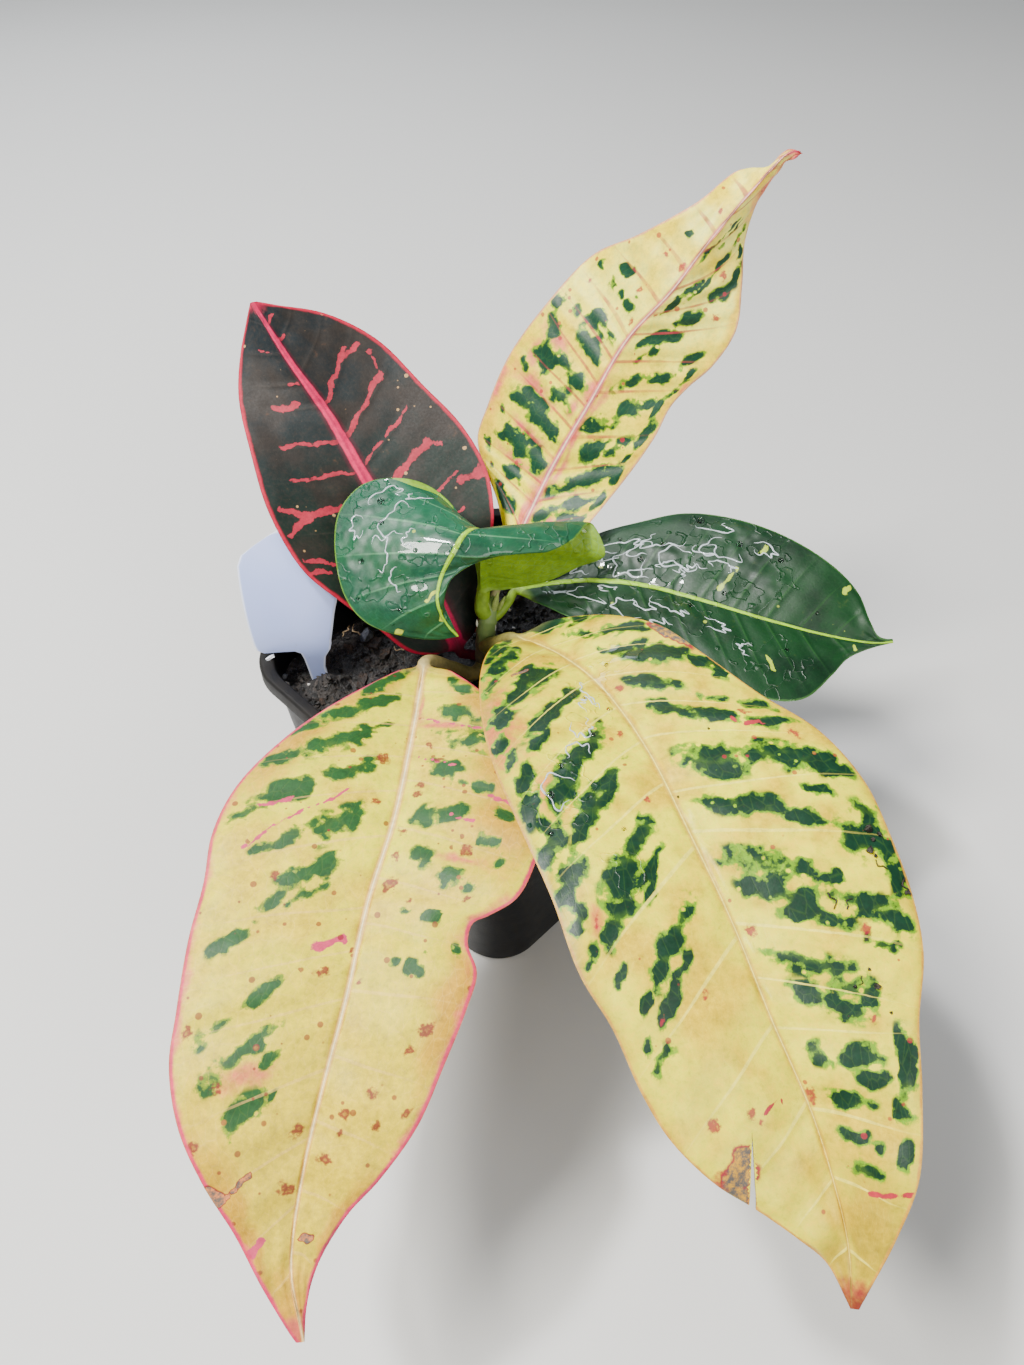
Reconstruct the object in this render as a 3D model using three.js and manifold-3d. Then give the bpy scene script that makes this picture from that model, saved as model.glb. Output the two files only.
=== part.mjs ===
// Potted croton: a young broad-leaved plant in a square nursery pot, with a plastic plant label.
// Millimetres, +Z up. The origin is the centre of the pot's underside. The pot's corners point
// along X and Y. Each leaf is one solid: its stalk, midrib and blade grew as one piece.
import * as THREE from 'three';
import { mergeVertices } from 'three/addons/utils/BufferGeometryUtils.js';
import Module from 'manifold-3d';

const wasm = await Module();
wasm.setup();

// ---------------------------------------------------------------- driving dimensions
const gap = 0.3; // between pieces that rest on or in each other

const potSide = 106; // across the flats at the rim
const potHeight = 72;
const potBaseSide = 90;
const potWall = 1.2;
const potFloor = 1.5;
const lipHeight = 5.5;
const lipOut = 2.2; // how far the lip stands out from the wall
const rimCorner = 16; // corner radius at the rim
const baseCorner = 15;
const cornerSteps = 7;
const sideSteps = 5; // parts of each straight side of the soil
const drainRadius = 4.5;
const drainReach = 32; // from the centre to each drain hole

const soilLevel = 62;
const soilRings = 13;
// Places where the soil lies higher or lower: centre, height and radius.
const mounds = [
  { x: -4, y: 2, height: -1.2, radius: 12 },
  { x: -49, y: -4.5, height: 5.5, radius: 4.2 },
  { x: -32, y: 14, height: 1, radius: 12 },
];

const stemSides = 14;
const stem = {
  line: [[-4, 2, 30], [-4, 2, 50], [-4, 2, 62], [-4, 3.5, 70], [-3.3, 6, 77], [-2.6, 7.2, 80],
    [-1.9, 8.4, 82.7], [-1.4, 9, 85.4]],
  radius: [2.4, 2.8, 2.7, 2.6, 2.7, 2.4, 1.5, 0.5],
};

const bladeThickness = 0.8;
const bladeRows = 26;
const stalkRows = 5;
const tipRow = 0.997; // share of the blade at which the last row of its mesh stands

// A leaf is three curves in space: the midrib, the left edge and the right edge, seen from the
// stalk with the upper face up. Its stalk runs from inside the stem to the midrib's first point.
// belly is the arch of each half between midrib and edge, as a share of its width, and lead is
// the power that lets the edges run ahead of the midrib, as the side veins do.
const leaves = {
  leaf_upper_left: {
    stalk: [[-4, 2.5, 67], [-8, 4, 67.2]],
    stalkRadius: [1.5, 1.4],
    ribRadius: 1.5,
    rib: [[-11, 4, 68], [-19, 14, 82], [-29, 24, 96], [-39, 36, 109], [-48, 46, 121], [-57, 53, 132],
      [-63, 59, 139], [-68, 64, 145]],
    left: [[-12, 3, 68], [-25, 1, 71], [-34, 1, 81], [-43, 1, 91], [-52, 4, 99], [-61, 15, 109],
      [-68, 33, 117], [-73, 50, 124], [-73, 60, 131], [-71, 66, 138], [-68, 64, 145]],
    right: [[-9, 6, 68], [-6, 11, 71], [-4, 18, 84], [-2, 21, 95], [-1, 22, 104], [-3, 32, 112],
      [-10, 43, 119], [-21, 54, 125], [-35, 66, 133], [-49, 69, 139], [-62, 66, 143], [-67, 64, 145]],
    belly: -0.02,
    lead: 0.9,
    colour: 0x26352b,
  },
  leaf_upper_right: {
    stalk: [[-2.6, 8.6, 79.5], [-1.2, 12, 82.5], [0.2, 14, 85.5]],
    stalkRadius: [1.3, 1.1],
    ribRadius: 1.3,
    rib: [[1, 15, 88], [7, 23, 98], [15, 32, 112], [25, 37, 130], [34, 41, 146], [44, 41, 159],
      [52, 44, 170], [61, 48, 180], [66, 50, 185], [69, 52, 187], [74, 56, 186]],
    left: [[1, 16, 89], [2, 21, 94], [0, 31, 101], [-6, 48, 111], [-3, 50, 121], [3, 54, 134],
      [13, 56, 148], [25, 61, 159], [36, 53, 168], [49, 50, 177], [59, 56, 182], [65, 52, 184],
      [68, 54, 186], [70, 55, 187], [73, 54, 187]],
    right: [[2, 16, 88], [8, 13, 92], [18, 13, 99], [31, 23, 109], [42, 29, 124], [46, 33, 131],
      [50, 34, 136], [56, 35, 142], [61, 38, 150], [62, 44, 159], [62, 49, 168], [64, 52, 176],
      [67, 51, 183], [69, 53, 185], [71, 52, 186], [73, 55, 186]],
    belly: -0.02,
    lead: 0.85,
    colour: 0xd9d08a,
  },
  leaf_centre: {
    stalk: [[-3.4, 7, 80.5], [-4.3, 7, 82], [-4.4, 7.8, 84.5]],
    stalkRadius: [2.3, 1.9],
    ribRadius: 1.5,
    rib: [[-4, 9, 88], [-4, 7, 100], [-4, 7, 110], [-8, 2, 113], [-11, -3, 111], [-14, -6, 106],
      [-15, -11, 101], [-13, -13, 96], [-10, -14, 92]],
    left: [[-2, 8, 88], [14, 8, 92], [22, 9, 96], [29, 8, 101], [28, 10, 105], [25, 12, 109],
      [20, 5, 109], [13, 1, 108], [5, 0, 109], [-3, -2, 109], [-9, -4, 108], [-12, -6, 105],
      [-14, -9, 101], [-12, -12, 96], [-10, -14, 92]],
    right: [[-5, 10, 88], [-7, 13, 99], [-11, 16, 110], [-18, 20, 115], [-26, 21, 117], [-36, 21, 115],
      [-42, 15, 111], [-43, 6, 106], [-40, -5, 98], [-34, -11, 94], [-24, -13, 91], [-15, -14, 91],
      [-11, -14, 92]],
    belly: 0.02,
    lead: 1,
    colour: 0x3f6b4a,
  },
  leaf_right: {
    stalk: [[-2.3, 6.8, 78.2], [0.4, 8, 80], [3, 10.8, 81.8]],
    stalkRadius: [1.5, 1.25],
    ribRadius: 1.4,
    rib: [[5, 14, 83], [14, 12, 87], [26, 9, 91], [39, 5, 93], [54, -2, 94], [69, -9, 94], [84, -14, 93],
      [96, -16, 92], [103, -17, 93]],
    left: [[5, 15, 84], [8, 17, 87], [15, 19, 92], [29, 23, 97], [40, 24, 100], [52, 24, 103],
      [65, 19, 105], [78, 11, 105], [89, 1, 103], [95, -5, 99], [97, -12, 96], [99, -16, 94],
      [103, -16, 93]],
    right: [[6, 11, 83], [12, 5, 86], [19, -2, 88], [33, -12, 89], [47, -22, 89], [60, -29, 89],
      [71, -33, 88], [78, -32, 88], [86, -25, 89], [91, -20, 90], [98, -17, 91], [103, -17, 93]],
    belly: 0.03,
    lead: 0.85,
    colour: 0x2f5137,
  },
  leaf_lower_left: {
    stalk: [[-4, 2, 64.8], [-7.3, -2.4, 65.7], [-13, -7, 73]],
    stalkRadius: [2.2, 1.8],
    ribRadius: 1.8,
    rib: [[-19, -18, 86], [-20, -48, 91], [-22, -73, 93], [-26, -92, 91], [-29, -112, 87],
      [-33, -129, 80], [-36, -142, 72], [-37, -154, 65], [-34, -165, 59]],
    left: [[-18, -17, 86], [-11, -24, 89], [-3, -34, 92], [5, -49, 95], [10, -65, 96], [11, -76, 96],
      [9, -85, 95], [5, -93, 94], [-1, -96, 92], [-4, -97, 91], [-5, -101, 90], [-3, -107, 89],
      [-5, -114, 87], [-9, -123, 83], [-14, -133, 78], [-21, -141, 73], [-27, -146, 69],
      [-32, -153, 65], [-34, -159, 61], [-34, -165, 59]],
    right: [[-20, -17, 86], [-29, -28, 91], [-40, -41, 95], [-49, -53, 97], [-57, -66, 97],
      [-60, -79, 97], [-60, -90, 95], [-61, -102, 93], [-61, -116, 90], [-61, -125, 87],
      [-58, -135, 83], [-53, -143, 78], [-47, -150, 71], [-42, -157, 65], [-37, -163, 60],
      [-35, -165, 59]],
    belly: 0.03,
    lead: 0.88,
    colour: 0xd2b56e,
  },
  leaf_lower_right: {
    stalk: [[-4, 4, 71], [-2.6, 1.4, 73.5], [0.2, -1, 77.3]],
    stalkRadius: [2.4, 1.5],
    ribRadius: 1.8,
    rib: [[4, -4, 82], [15, -18, 90], [25, -36, 97], [34, -59, 101], [41, -82, 101], [48, -100, 96],
      [54, -116, 89], [61, -131, 80], [65, -142, 72], [67, -151, 66], [67, -160, 60]],
    left: [[5, -3, 83], [17, -5, 90], [30, -10, 96], [41, -19, 101], [50, -32, 104], [61, -46, 105],
      [72, -58, 106], [79, -71, 105], [82, -84, 103], [84, -96, 100], [84, -107, 97], [81, -119, 93],
      [80, -130, 88], [78, -143, 81], [74, -151, 73], [70, -157, 65], [68, -160, 60]],
    right: [[3, -5, 83], [-2, -16, 89], [-4, -32, 95], [-3, -49, 99], [0, -65, 102], [6, -82, 102],
      [12, -97, 100], [17, -111, 96], [23, -120, 92], [28, -130, 87], [33, -137, 83], [41, -143, 78],
      [49, -146, 73], [57, -150, 69], [63, -153, 64], [66, -158, 61], [67, -160, 60]],
    belly: 0.04,
    lead: 0.88,
    colour: 0xd8c476,
    tear: { apex: [48.5, -135.5], mouth: [48.5, -149], width: 2.6 },
  },
};

// The label is a thin sheet on a pointed stake, leaning to the left and back and curled a little.
// Its rows are heights above the soil along the stake, with the reach to the left and to the right.
const label = {
  thickness: 0.8,
  plan: [-51, -2], // stake's centre at the soil
  tilt: 0.14, // radians by which the top leans to the left
  curlRadius: 24,
  leanFrom: 72,
  lean: 0.018, // backward shift per square of the height above leanFrom
  rows: [[-20, 0.8, 0.8], [-10, 2, 1.4], [0, 3, 2.2], [6, 2.8, 2.4], [10, 2.7, 3.6], [12.4, 3, 5.6],
    [13.4, 4.6, 6], [13.7, 9, 6.1], [13.9, 13.6, 6.2], [14.9, 15, 6.4], [17, 15.3, 7.2], [22, 15.3, 9],
    [27, 15.3, 11.4], [31, 15.3, 11], [34, 15.3, 9.4], [37, 15.2, 7.4], [39, 13.9, 5.8], [40.3, 10.6, 4.4],
    [41.5, 6.8, 2.8], [42.3, 3.6, 1.4]],
  columns: 12,
};

// ---------------------------------------------------------------- geometry helpers
const vec = (p) => new THREE.Vector3(...p);
const curveThrough = (points) => new THREE.CatmullRomCurve3(points.map(vec), false, 'centripetal');

// A closed geometry from a list of rings of equal length, each an array of Vector3, joined in
// order, with a fan over each end ring.
function loft(rings) {
  const size = rings[0].length;
  const positions = rings.flat().flatMap((p) => [p.x, p.y, p.z]);
  const indices = [];
  for (let i = 0; i < rings.length - 1; i += 1) {
    const near = i * size;
    const far = near + size;
    for (let j = 0; j < size; j += 1) {
      const k = (j + 1) % size;
      indices.push(near + j, near + k, far + k, near + j, far + k, far + j);
    }
  }
  for (const [ring, turned] of [[0, true], [rings.length - 1, false]]) {
    const centre = rings[ring].reduce((sum, p) => sum.add(p), new THREE.Vector3()).divideScalar(size);
    const hub = positions.length / 3;
    positions.push(centre.x, centre.y, centre.z);
    for (let j = 0; j < size; j += 1) {
      const a = ring * size + j;
      const b = ring * size + ((j + 1) % size);
      indices.push(...(turned ? [hub, b, a] : [hub, a, b]));
    }
  }
  return closed(positions, indices);
}

// A closed geometry from two sheets of points, rows by columns, split alike on both faces.
function doubleSheet(upper, lower) {
  const rows = upper.length;
  const columns = upper[0].length;
  const positions = [...upper.flat(), ...lower.flat()].flatMap((p) => [p.x, p.y, p.z]);
  const top = (i, j) => i * columns + j;
  const under = (i, j) => rows * columns + top(i, j);
  const indices = [];
  for (let i = 0; i < rows - 1; i += 1) {
    for (let j = 0; j < columns - 1; j += 1) {
      indices.push(top(i, j), top(i, j + 1), top(i + 1, j + 1));
      indices.push(top(i, j), top(i + 1, j + 1), top(i + 1, j));
      indices.push(under(i, j), under(i + 1, j + 1), under(i, j + 1));
      indices.push(under(i, j), under(i + 1, j), under(i + 1, j + 1));
    }
    const last = columns - 1;
    indices.push(top(i, 0), top(i + 1, 0), under(i + 1, 0), top(i, 0), under(i + 1, 0), under(i, 0));
    indices.push(top(i, last), under(i + 1, last), top(i + 1, last));
    indices.push(top(i, last), under(i, last), under(i + 1, last));
  }
  for (let j = 0; j < columns - 1; j += 1) {
    const end = rows - 1;
    indices.push(top(0, j), under(0, j), under(0, j + 1), top(0, j), under(0, j + 1), top(0, j + 1));
    indices.push(top(end, j), under(end, j + 1), under(end, j));
    indices.push(top(end, j), top(end, j + 1), under(end, j + 1));
  }
  return closed(positions, indices);
}

// Turns the faces outwards if their signed volume says that they point in.
function closed(positions, indices) {
  const at = (i) => new THREE.Vector3().fromArray(positions, 3 * i);
  let volume = 0;
  for (let i = 0; i < indices.length; i += 3) {
    volume += at(indices[i]).dot(at(indices[i + 1]).cross(at(indices[i + 2])));
  }
  const geometry = new THREE.BufferGeometry();
  geometry.setAttribute('position', new THREE.Float32BufferAttribute(positions, 3));
  geometry.setIndex(volume > 0 ? indices : indices.reverse());
  return geometry;
}

function toSolid(geometry) {
  const bare = geometry.clone();
  bare.deleteAttribute('normal');
  bare.deleteAttribute('uv');
  const merged = mergeVertices(bare, 1e-4);
  return new wasm.Manifold(new wasm.Mesh({
    numProp: 3,
    vertProperties: new Float32Array(merged.attributes.position.array),
    triVerts: new Uint32Array(merged.index.array),
  }));
}

function toGeometry(solid) {
  const mesh = solid.getMesh();
  const geometry = new THREE.BufferGeometry();
  geometry.setAttribute('position', new THREE.Float32BufferAttribute(mesh.vertProperties, 3));
  geometry.setIndex(Array.from(mesh.triVerts));
  return geometry;
}

// ---------------------------------------------------------------- pot and soil
// A rounded square ring with its corners on the X and Y axes. Its straight sides are cut in parts.
function squareRing(side, corner, z, parts = 1) {
  const reach = side / 2 - corner;
  const corners = [];
  for (let quarter = 0; quarter < 4; quarter += 1) {
    for (let step = 0; step <= cornerSteps; step += 1) {
      const turn = (quarter + step / cornerSteps) * (Math.PI / 2);
      const facing = (quarter + 0.5) * (Math.PI / 2);
      const x = reach * Math.SQRT2 * Math.cos(facing) + corner * Math.cos(turn);
      const y = reach * Math.SQRT2 * Math.sin(facing) + corner * Math.sin(turn);
      corners.push(new THREE.Vector3(x, y, z).applyAxisAngle(new THREE.Vector3(0, 0, 1), Math.PI / 4));
    }
  }
  return corners.flatMap((point, i) => {
    const next = corners[(i + 1) % corners.length];
    const count = (i + 1) % (cornerSteps + 1) === 0 ? parts : 1;
    return Array.from({ length: count }, (_, k) => point.clone().lerp(next, k / count));
  });
}

const wallTop = potSide - 2 * lipOut;
const outerSide = (z) => potBaseSide + ((wallTop - potBaseSide) * z) / potHeight;
const outerCorner = (z) => baseCorner + ((rimCorner - baseCorner) * z) / potHeight;
const innerSide = (z) => outerSide(z) - 2 * potWall;
const innerCorner = (z) => outerCorner(z) - potWall;

function makePot() {
  const lipFoot = potHeight - lipHeight;
  const bevel = 1;
  const shell = loft([
    squareRing(outerSide(0) - 2 * bevel, baseCorner - bevel, 0),
    squareRing(outerSide(bevel), outerCorner(bevel), bevel),
    squareRing(outerSide(lipFoot), outerCorner(lipFoot), lipFoot),
    squareRing(potSide - bevel, rimCorner, lipFoot + bevel / 2),
    squareRing(potSide, rimCorner, lipFoot + 2 * bevel),
    squareRing(potSide - 0.4 * bevel, rimCorner, potHeight - bevel),
    squareRing(potSide - 2 * bevel, rimCorner - bevel, potHeight),
    squareRing(innerSide(potHeight) + bevel, rimCorner - bevel, potHeight),
    squareRing(innerSide(potHeight - bevel), innerCorner(potHeight), potHeight - bevel),
    squareRing(innerSide(potHeight / 2), innerCorner(potHeight / 2), potHeight / 2),
    squareRing(innerSide(potFloor), innerCorner(potFloor), potFloor),
  ]);
  let pot = toSolid(shell);
  for (let i = 0; i < 8; i += 1) {
    const angle = (i * Math.PI) / 4;
    const drain = new THREE.CylinderGeometry(drainRadius, drainRadius, 4 * potFloor, 16);
    drain.rotateX(Math.PI / 2);
    drain.translate(drainReach * Math.cos(angle), drainReach * Math.sin(angle), potFloor / 2);
    pot = pot.subtract(toSolid(drain));
  }
  return toGeometry(pot);
}

// Loose lumps: crossed waves and the mounds.
function soilRelief(x, y) {
  const lumps = 0.5 * Math.sin(0.42 * x + 1.3) * Math.cos(0.37 * y) + 0.3 * Math.sin(0.8 * x - 0.6 * y);
  return mounds.reduce((sum, { x: mx, y: my, height, radius }) => (
    sum + height * Math.exp(-(((x - mx) / radius) ** 2) - ((y - my) / radius) ** 2)), lumps);
}

function makeSoil(holes) {
  const floor = potFloor + gap;
  const rings = [floor, soilLevel / 2, soilLevel - 2].map((z) => (
    squareRing(innerSide(z) - 2 * gap, innerCorner(z) - gap, z, sideSteps)));
  const edgeSide = innerSide(soilLevel) - 2 * gap - 0.6;
  const edge = squareRing(edgeSide, innerCorner(soilLevel) - gap, soilLevel, sideSteps);
  for (let k = 0; k < soilRings; k += 1) {
    const share = 1 - k / soilRings;
    rings.push(edge.map((p) => {
      const x = p.x * share;
      const y = p.y * share;
      return new THREE.Vector3(x, y, soilLevel + soilRelief(x, y) * (k === 0 ? 0.4 : 1));
    }));
  }
  return toGeometry(holes.reduce((soil, hole) => soil.subtract(hole), toSolid(loft(rings))));
}

// ---------------------------------------------------------------- stem
// With extra, the stem is grown by that much all round: the room that its neighbours leave it.
function makeStem(extra = 0) {
  const curve = curveThrough(stem.line);
  const rings = [];
  const steps = 4 * (stem.line.length - 1);
  for (let i = 0; i <= steps; i += 1) {
    const t = i / steps;
    const centre = curve.getPoint(t);
    const along = curve.getTangent(t);
    if (i === 0) centre.z -= extra;
    if (i === steps) centre.addScaledVector(along, extra);
    const side = new THREE.Vector3(1, 0, 0).addScaledVector(along, -along.x).normalize();
    const back = new THREE.Vector3().crossVectors(along, side);
    const place = t * (stem.radius.length - 1);
    const k = Math.min(Math.floor(place), stem.radius.length - 2);
    const radius = THREE.MathUtils.lerp(stem.radius[k], stem.radius[k + 1], place - k) + extra;
    const ring = [];
    for (let j = 0; j < stemSides; j += 1) {
      const angle = (2 * Math.PI * j) / stemSides;
      ring.push(centre.clone().addScaledVector(side, radius * Math.cos(angle))
        .addScaledVector(back, radius * Math.sin(angle)));
    }
    rings.push(ring);
  }
  return loft(rings);
}

// ---------------------------------------------------------------- leaves
const blend = (a, b, share) => a.clone().lerp(b, share);

// One cross-section of the blade: upper and lower points from the left edge to the right edge.
function bladeRow(leaf, curves, v) {
  const centre = curves.rib.getPointAt(v);
  const along = curves.rib.getTangentAt(v);
  const edges = [curves.left.getPointAt(v ** leaf.lead), curves.right.getPointAt(v ** leaf.lead)];
  const halves = edges.map((edge, side) => {
    const across = edge.clone().sub(centre);
    const up = new THREE.Vector3().crossVectors(along, across).normalize();
    return { edge, up: side === 0 ? up : up.negate(), width: across.length() };
  });
  const crown = halves[0].up.clone().add(halves[1].up).normalize();
  const ribRadius = leaf.ribRadius * (1 - 0.75 * v);
  const upper = [];
  const lower = [];
  const add = (side, share) => {
    const { edge, up, width } = halves[side];
    const arch = 4 * leaf.belly * width * share * (1 - share);
    const point = blend(centre, edge, share).addScaledVector(up, arch);
    const facing = blend(crown, up, Math.min(1, 3 * share)).normalize();
    const ridge = share === 0 ? 1 : 0;
    upper.push(point.clone().addScaledVector(facing, bladeThickness / 2 + 0.25 * ribRadius * ridge));
    lower.push(point.clone().addScaledVector(facing, -bladeThickness / 2 - ribRadius * ridge));
  };
  const inner = (side) => Math.min(0.2, (1.1 * ribRadius) / halves[side].width);
  for (const share of [1, 0.72, 0.42]) add(0, share);
  add(0, inner(0));
  add(0, 0);
  add(1, inner(1));
  for (const share of [0.42, 0.72, 1]) add(1, share);
  return [upper, lower];
}

// The stalk's rows are round: the upper points are its top half and the lower points the rest.
function stalkRow(centre, along, leftward, radius, columns) {
  const side = leftward.clone().addScaledVector(along, -along.dot(leftward)).normalize();
  const up = new THREE.Vector3().crossVectors(along, side);
  const ring = (sign) => Array.from({ length: columns }, (_, j) => {
    const angle = Math.PI * ((j + 0.5) / columns);
    return centre.clone().addScaledVector(side, radius * Math.cos(angle))
      .addScaledVector(up, sign * radius * Math.sin(angle));
  });
  return [ring(1), ring(-1)];
}

function makeLeaf(leaf, stemRoom) {
  const [rib, left, right] = [leaf.rib, leaf.left, leaf.right].map(curveThrough);
  const curves = { rib, left, right };
  const blade = [];
  for (let i = 0; i < bladeRows; i += 1) {
    const even = i / (bladeRows - 1);
    const eased = (1 - Math.cos(Math.PI * even)) / 2;
    blade.push(bladeRow(leaf, curves, tipRow * THREE.MathUtils.lerp(even, eased, 0.6)));
  }
  const leftward = curves.left.getPointAt(0.06).sub(curves.right.getPointAt(0.06));
  const stalkLine = curveThrough([...leaf.stalk, leaf.rib[0], leaf.rib[1]]);
  const stalkEnd = leaf.stalk.length / (leaf.stalk.length + 1);
  const rows = [];
  for (let i = 0; i < stalkRows; i += 1) {
    const t = (stalkEnd * i) / stalkRows;
    const radius = THREE.MathUtils.lerp(...leaf.stalkRadius, i / stalkRows);
    const columns = blade[0][0].length;
    rows.push(stalkRow(stalkLine.getPoint(t), stalkLine.getTangent(t), leftward, radius, columns));
  }
  rows.push(...blade);
  let solid = toSolid(doubleSheet(rows.map((row) => row[0]), rows.map((row) => row[1])));
  solid = solid.subtract(stemRoom);
  if (leaf.tear) solid = solid.subtract(tearWedge(leaf.tear));
  return toGeometry(solid);
}

// An upright wedge that opens from its apex to the leaf's edge.
function tearWedge({ apex, mouth, width }) {
  const outline = new THREE.Shape([
    new THREE.Vector2(apex[0], apex[1]),
    new THREE.Vector2(mouth[0] - width / 2, mouth[1]),
    new THREE.Vector2(mouth[0] + width / 2, mouth[1]),
  ]);
  return toSolid(new THREE.ExtrudeGeometry(outline, { depth: potHeight, bevelEnabled: false })
    .translate(0, 0, potHeight / 2));
}

// ---------------------------------------------------------------- label
// The point of the label at a distance to the right of its stake's line, at a height along it.
function labelPoint(across, height) {
  const { plan, tilt, curlRadius, leanFrom, lean } = label;
  const bend = Math.max(across, 0) / curlRadius;
  const aside = Math.min(across, 0) + curlRadius * Math.sin(bend);
  const x = plan[0] + aside * Math.cos(tilt) - height * Math.sin(tilt);
  const z = soilLevel + height * Math.cos(tilt) + aside * Math.sin(tilt);
  const rise = Math.max(z - leanFrom, 0);
  return new THREE.Vector3(x, plan[1] + curlRadius * (1 - Math.cos(bend)) + lean * rise * rise, z);
}

// With extra, the label is grown by that much all round: the room that the soil leaves it.
function makeLabel(extra = 0) {
  const half = label.thickness / 2 + extra;
  const step = 0.05;
  const sheets = [1, -1].map((sign) => label.rows.map(([height, left, right], row) => (
    Array.from({ length: label.columns + 1 }, (_, j) => {
      const across = THREE.MathUtils.lerp(right + extra, -left - extra, j / label.columns);
      const here = labelPoint(across, row === 0 ? height - extra : height);
      const aside = labelPoint(across + step, height).sub(here);
      const above = labelPoint(across, height + step).sub(here);
      const facing = new THREE.Vector3().crossVectors(above, aside).normalize();
      return here.addScaledVector(facing, sign * half);
    }))));
  return doubleSheet(sheets[0], sheets[1]);
}

// ---------------------------------------------------------------- assembly
const plant = new THREE.Group();

function addPiece(name, geometry, colour, roughness) {
  const material = new THREE.MeshStandardMaterial({ color: colour, roughness, metalness: 0 });
  const mesh = new THREE.Mesh(geometry, material);
  mesh.name = name;
  plant.add(mesh);
}

const stemRoom = toSolid(makeStem(gap));
const labelRoom = toSolid(makeLabel(gap));

addPiece('pot', makePot(), 0x1b1c1e, 0.5);
addPiece('soil', makeSoil([stemRoom, labelRoom]), 0x2a211b, 0.95);
addPiece('stem', makeStem(), 0x7d8a58, 0.6);
addPiece('label', makeLabel(), 0xe9ebf0, 0.45);
for (const [name, leaf] of Object.entries(leaves)) {
  addPiece(name, makeLeaf(leaf, stemRoom), leaf.colour, 0.4);
}

export default plant;
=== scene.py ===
"""The looks of a potted croton: six broad leaves on a short stem, in a square nursery pot.

Everything is in metres, in the frame of the CAD model: the origin is the centre of the pot's
underside, and the pot's corners point along X and Y. Lengths below that are written in
millimetres are turned to metres by MM.
"""

import math
import random

import bpy
import numpy as np
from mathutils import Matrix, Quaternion, Vector, noise


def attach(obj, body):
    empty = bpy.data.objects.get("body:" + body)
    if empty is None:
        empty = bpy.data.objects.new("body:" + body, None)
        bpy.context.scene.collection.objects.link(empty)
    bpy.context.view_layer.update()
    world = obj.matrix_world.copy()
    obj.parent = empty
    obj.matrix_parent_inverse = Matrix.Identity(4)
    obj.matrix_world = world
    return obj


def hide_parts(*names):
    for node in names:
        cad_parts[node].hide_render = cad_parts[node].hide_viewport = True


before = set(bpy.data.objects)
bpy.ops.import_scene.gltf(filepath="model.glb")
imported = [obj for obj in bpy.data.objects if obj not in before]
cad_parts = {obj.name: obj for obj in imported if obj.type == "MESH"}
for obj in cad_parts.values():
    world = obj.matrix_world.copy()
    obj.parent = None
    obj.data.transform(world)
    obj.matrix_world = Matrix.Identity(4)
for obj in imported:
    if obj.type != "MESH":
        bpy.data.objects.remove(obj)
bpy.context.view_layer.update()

MM = 0.001
random.seed(11)

# ---------------------------------------------------------------- driving dimensions, in mm
POT_HEIGHT = 72
POT_SIDE = 106  # across the flats at the rim
POT_BASE_SIDE = 90
POT_WALL = 1.2
POT_FLOOR = 1.5
POT_CORNER = 16
LIP_HEIGHT = 5.5
LIP_OUT = 2.2
DRAIN_RADIUS = 4.5
DRAIN_REACH = 32
DRAIN_COUNT = 8
SOIL_LEVEL = 62
SOIL_GAP = 0.3  # what the soil keeps clear of the pot, at its floor and at each wall
BLADE_HALF = 0.27  # half the thickness of a leaf's blade

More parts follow.
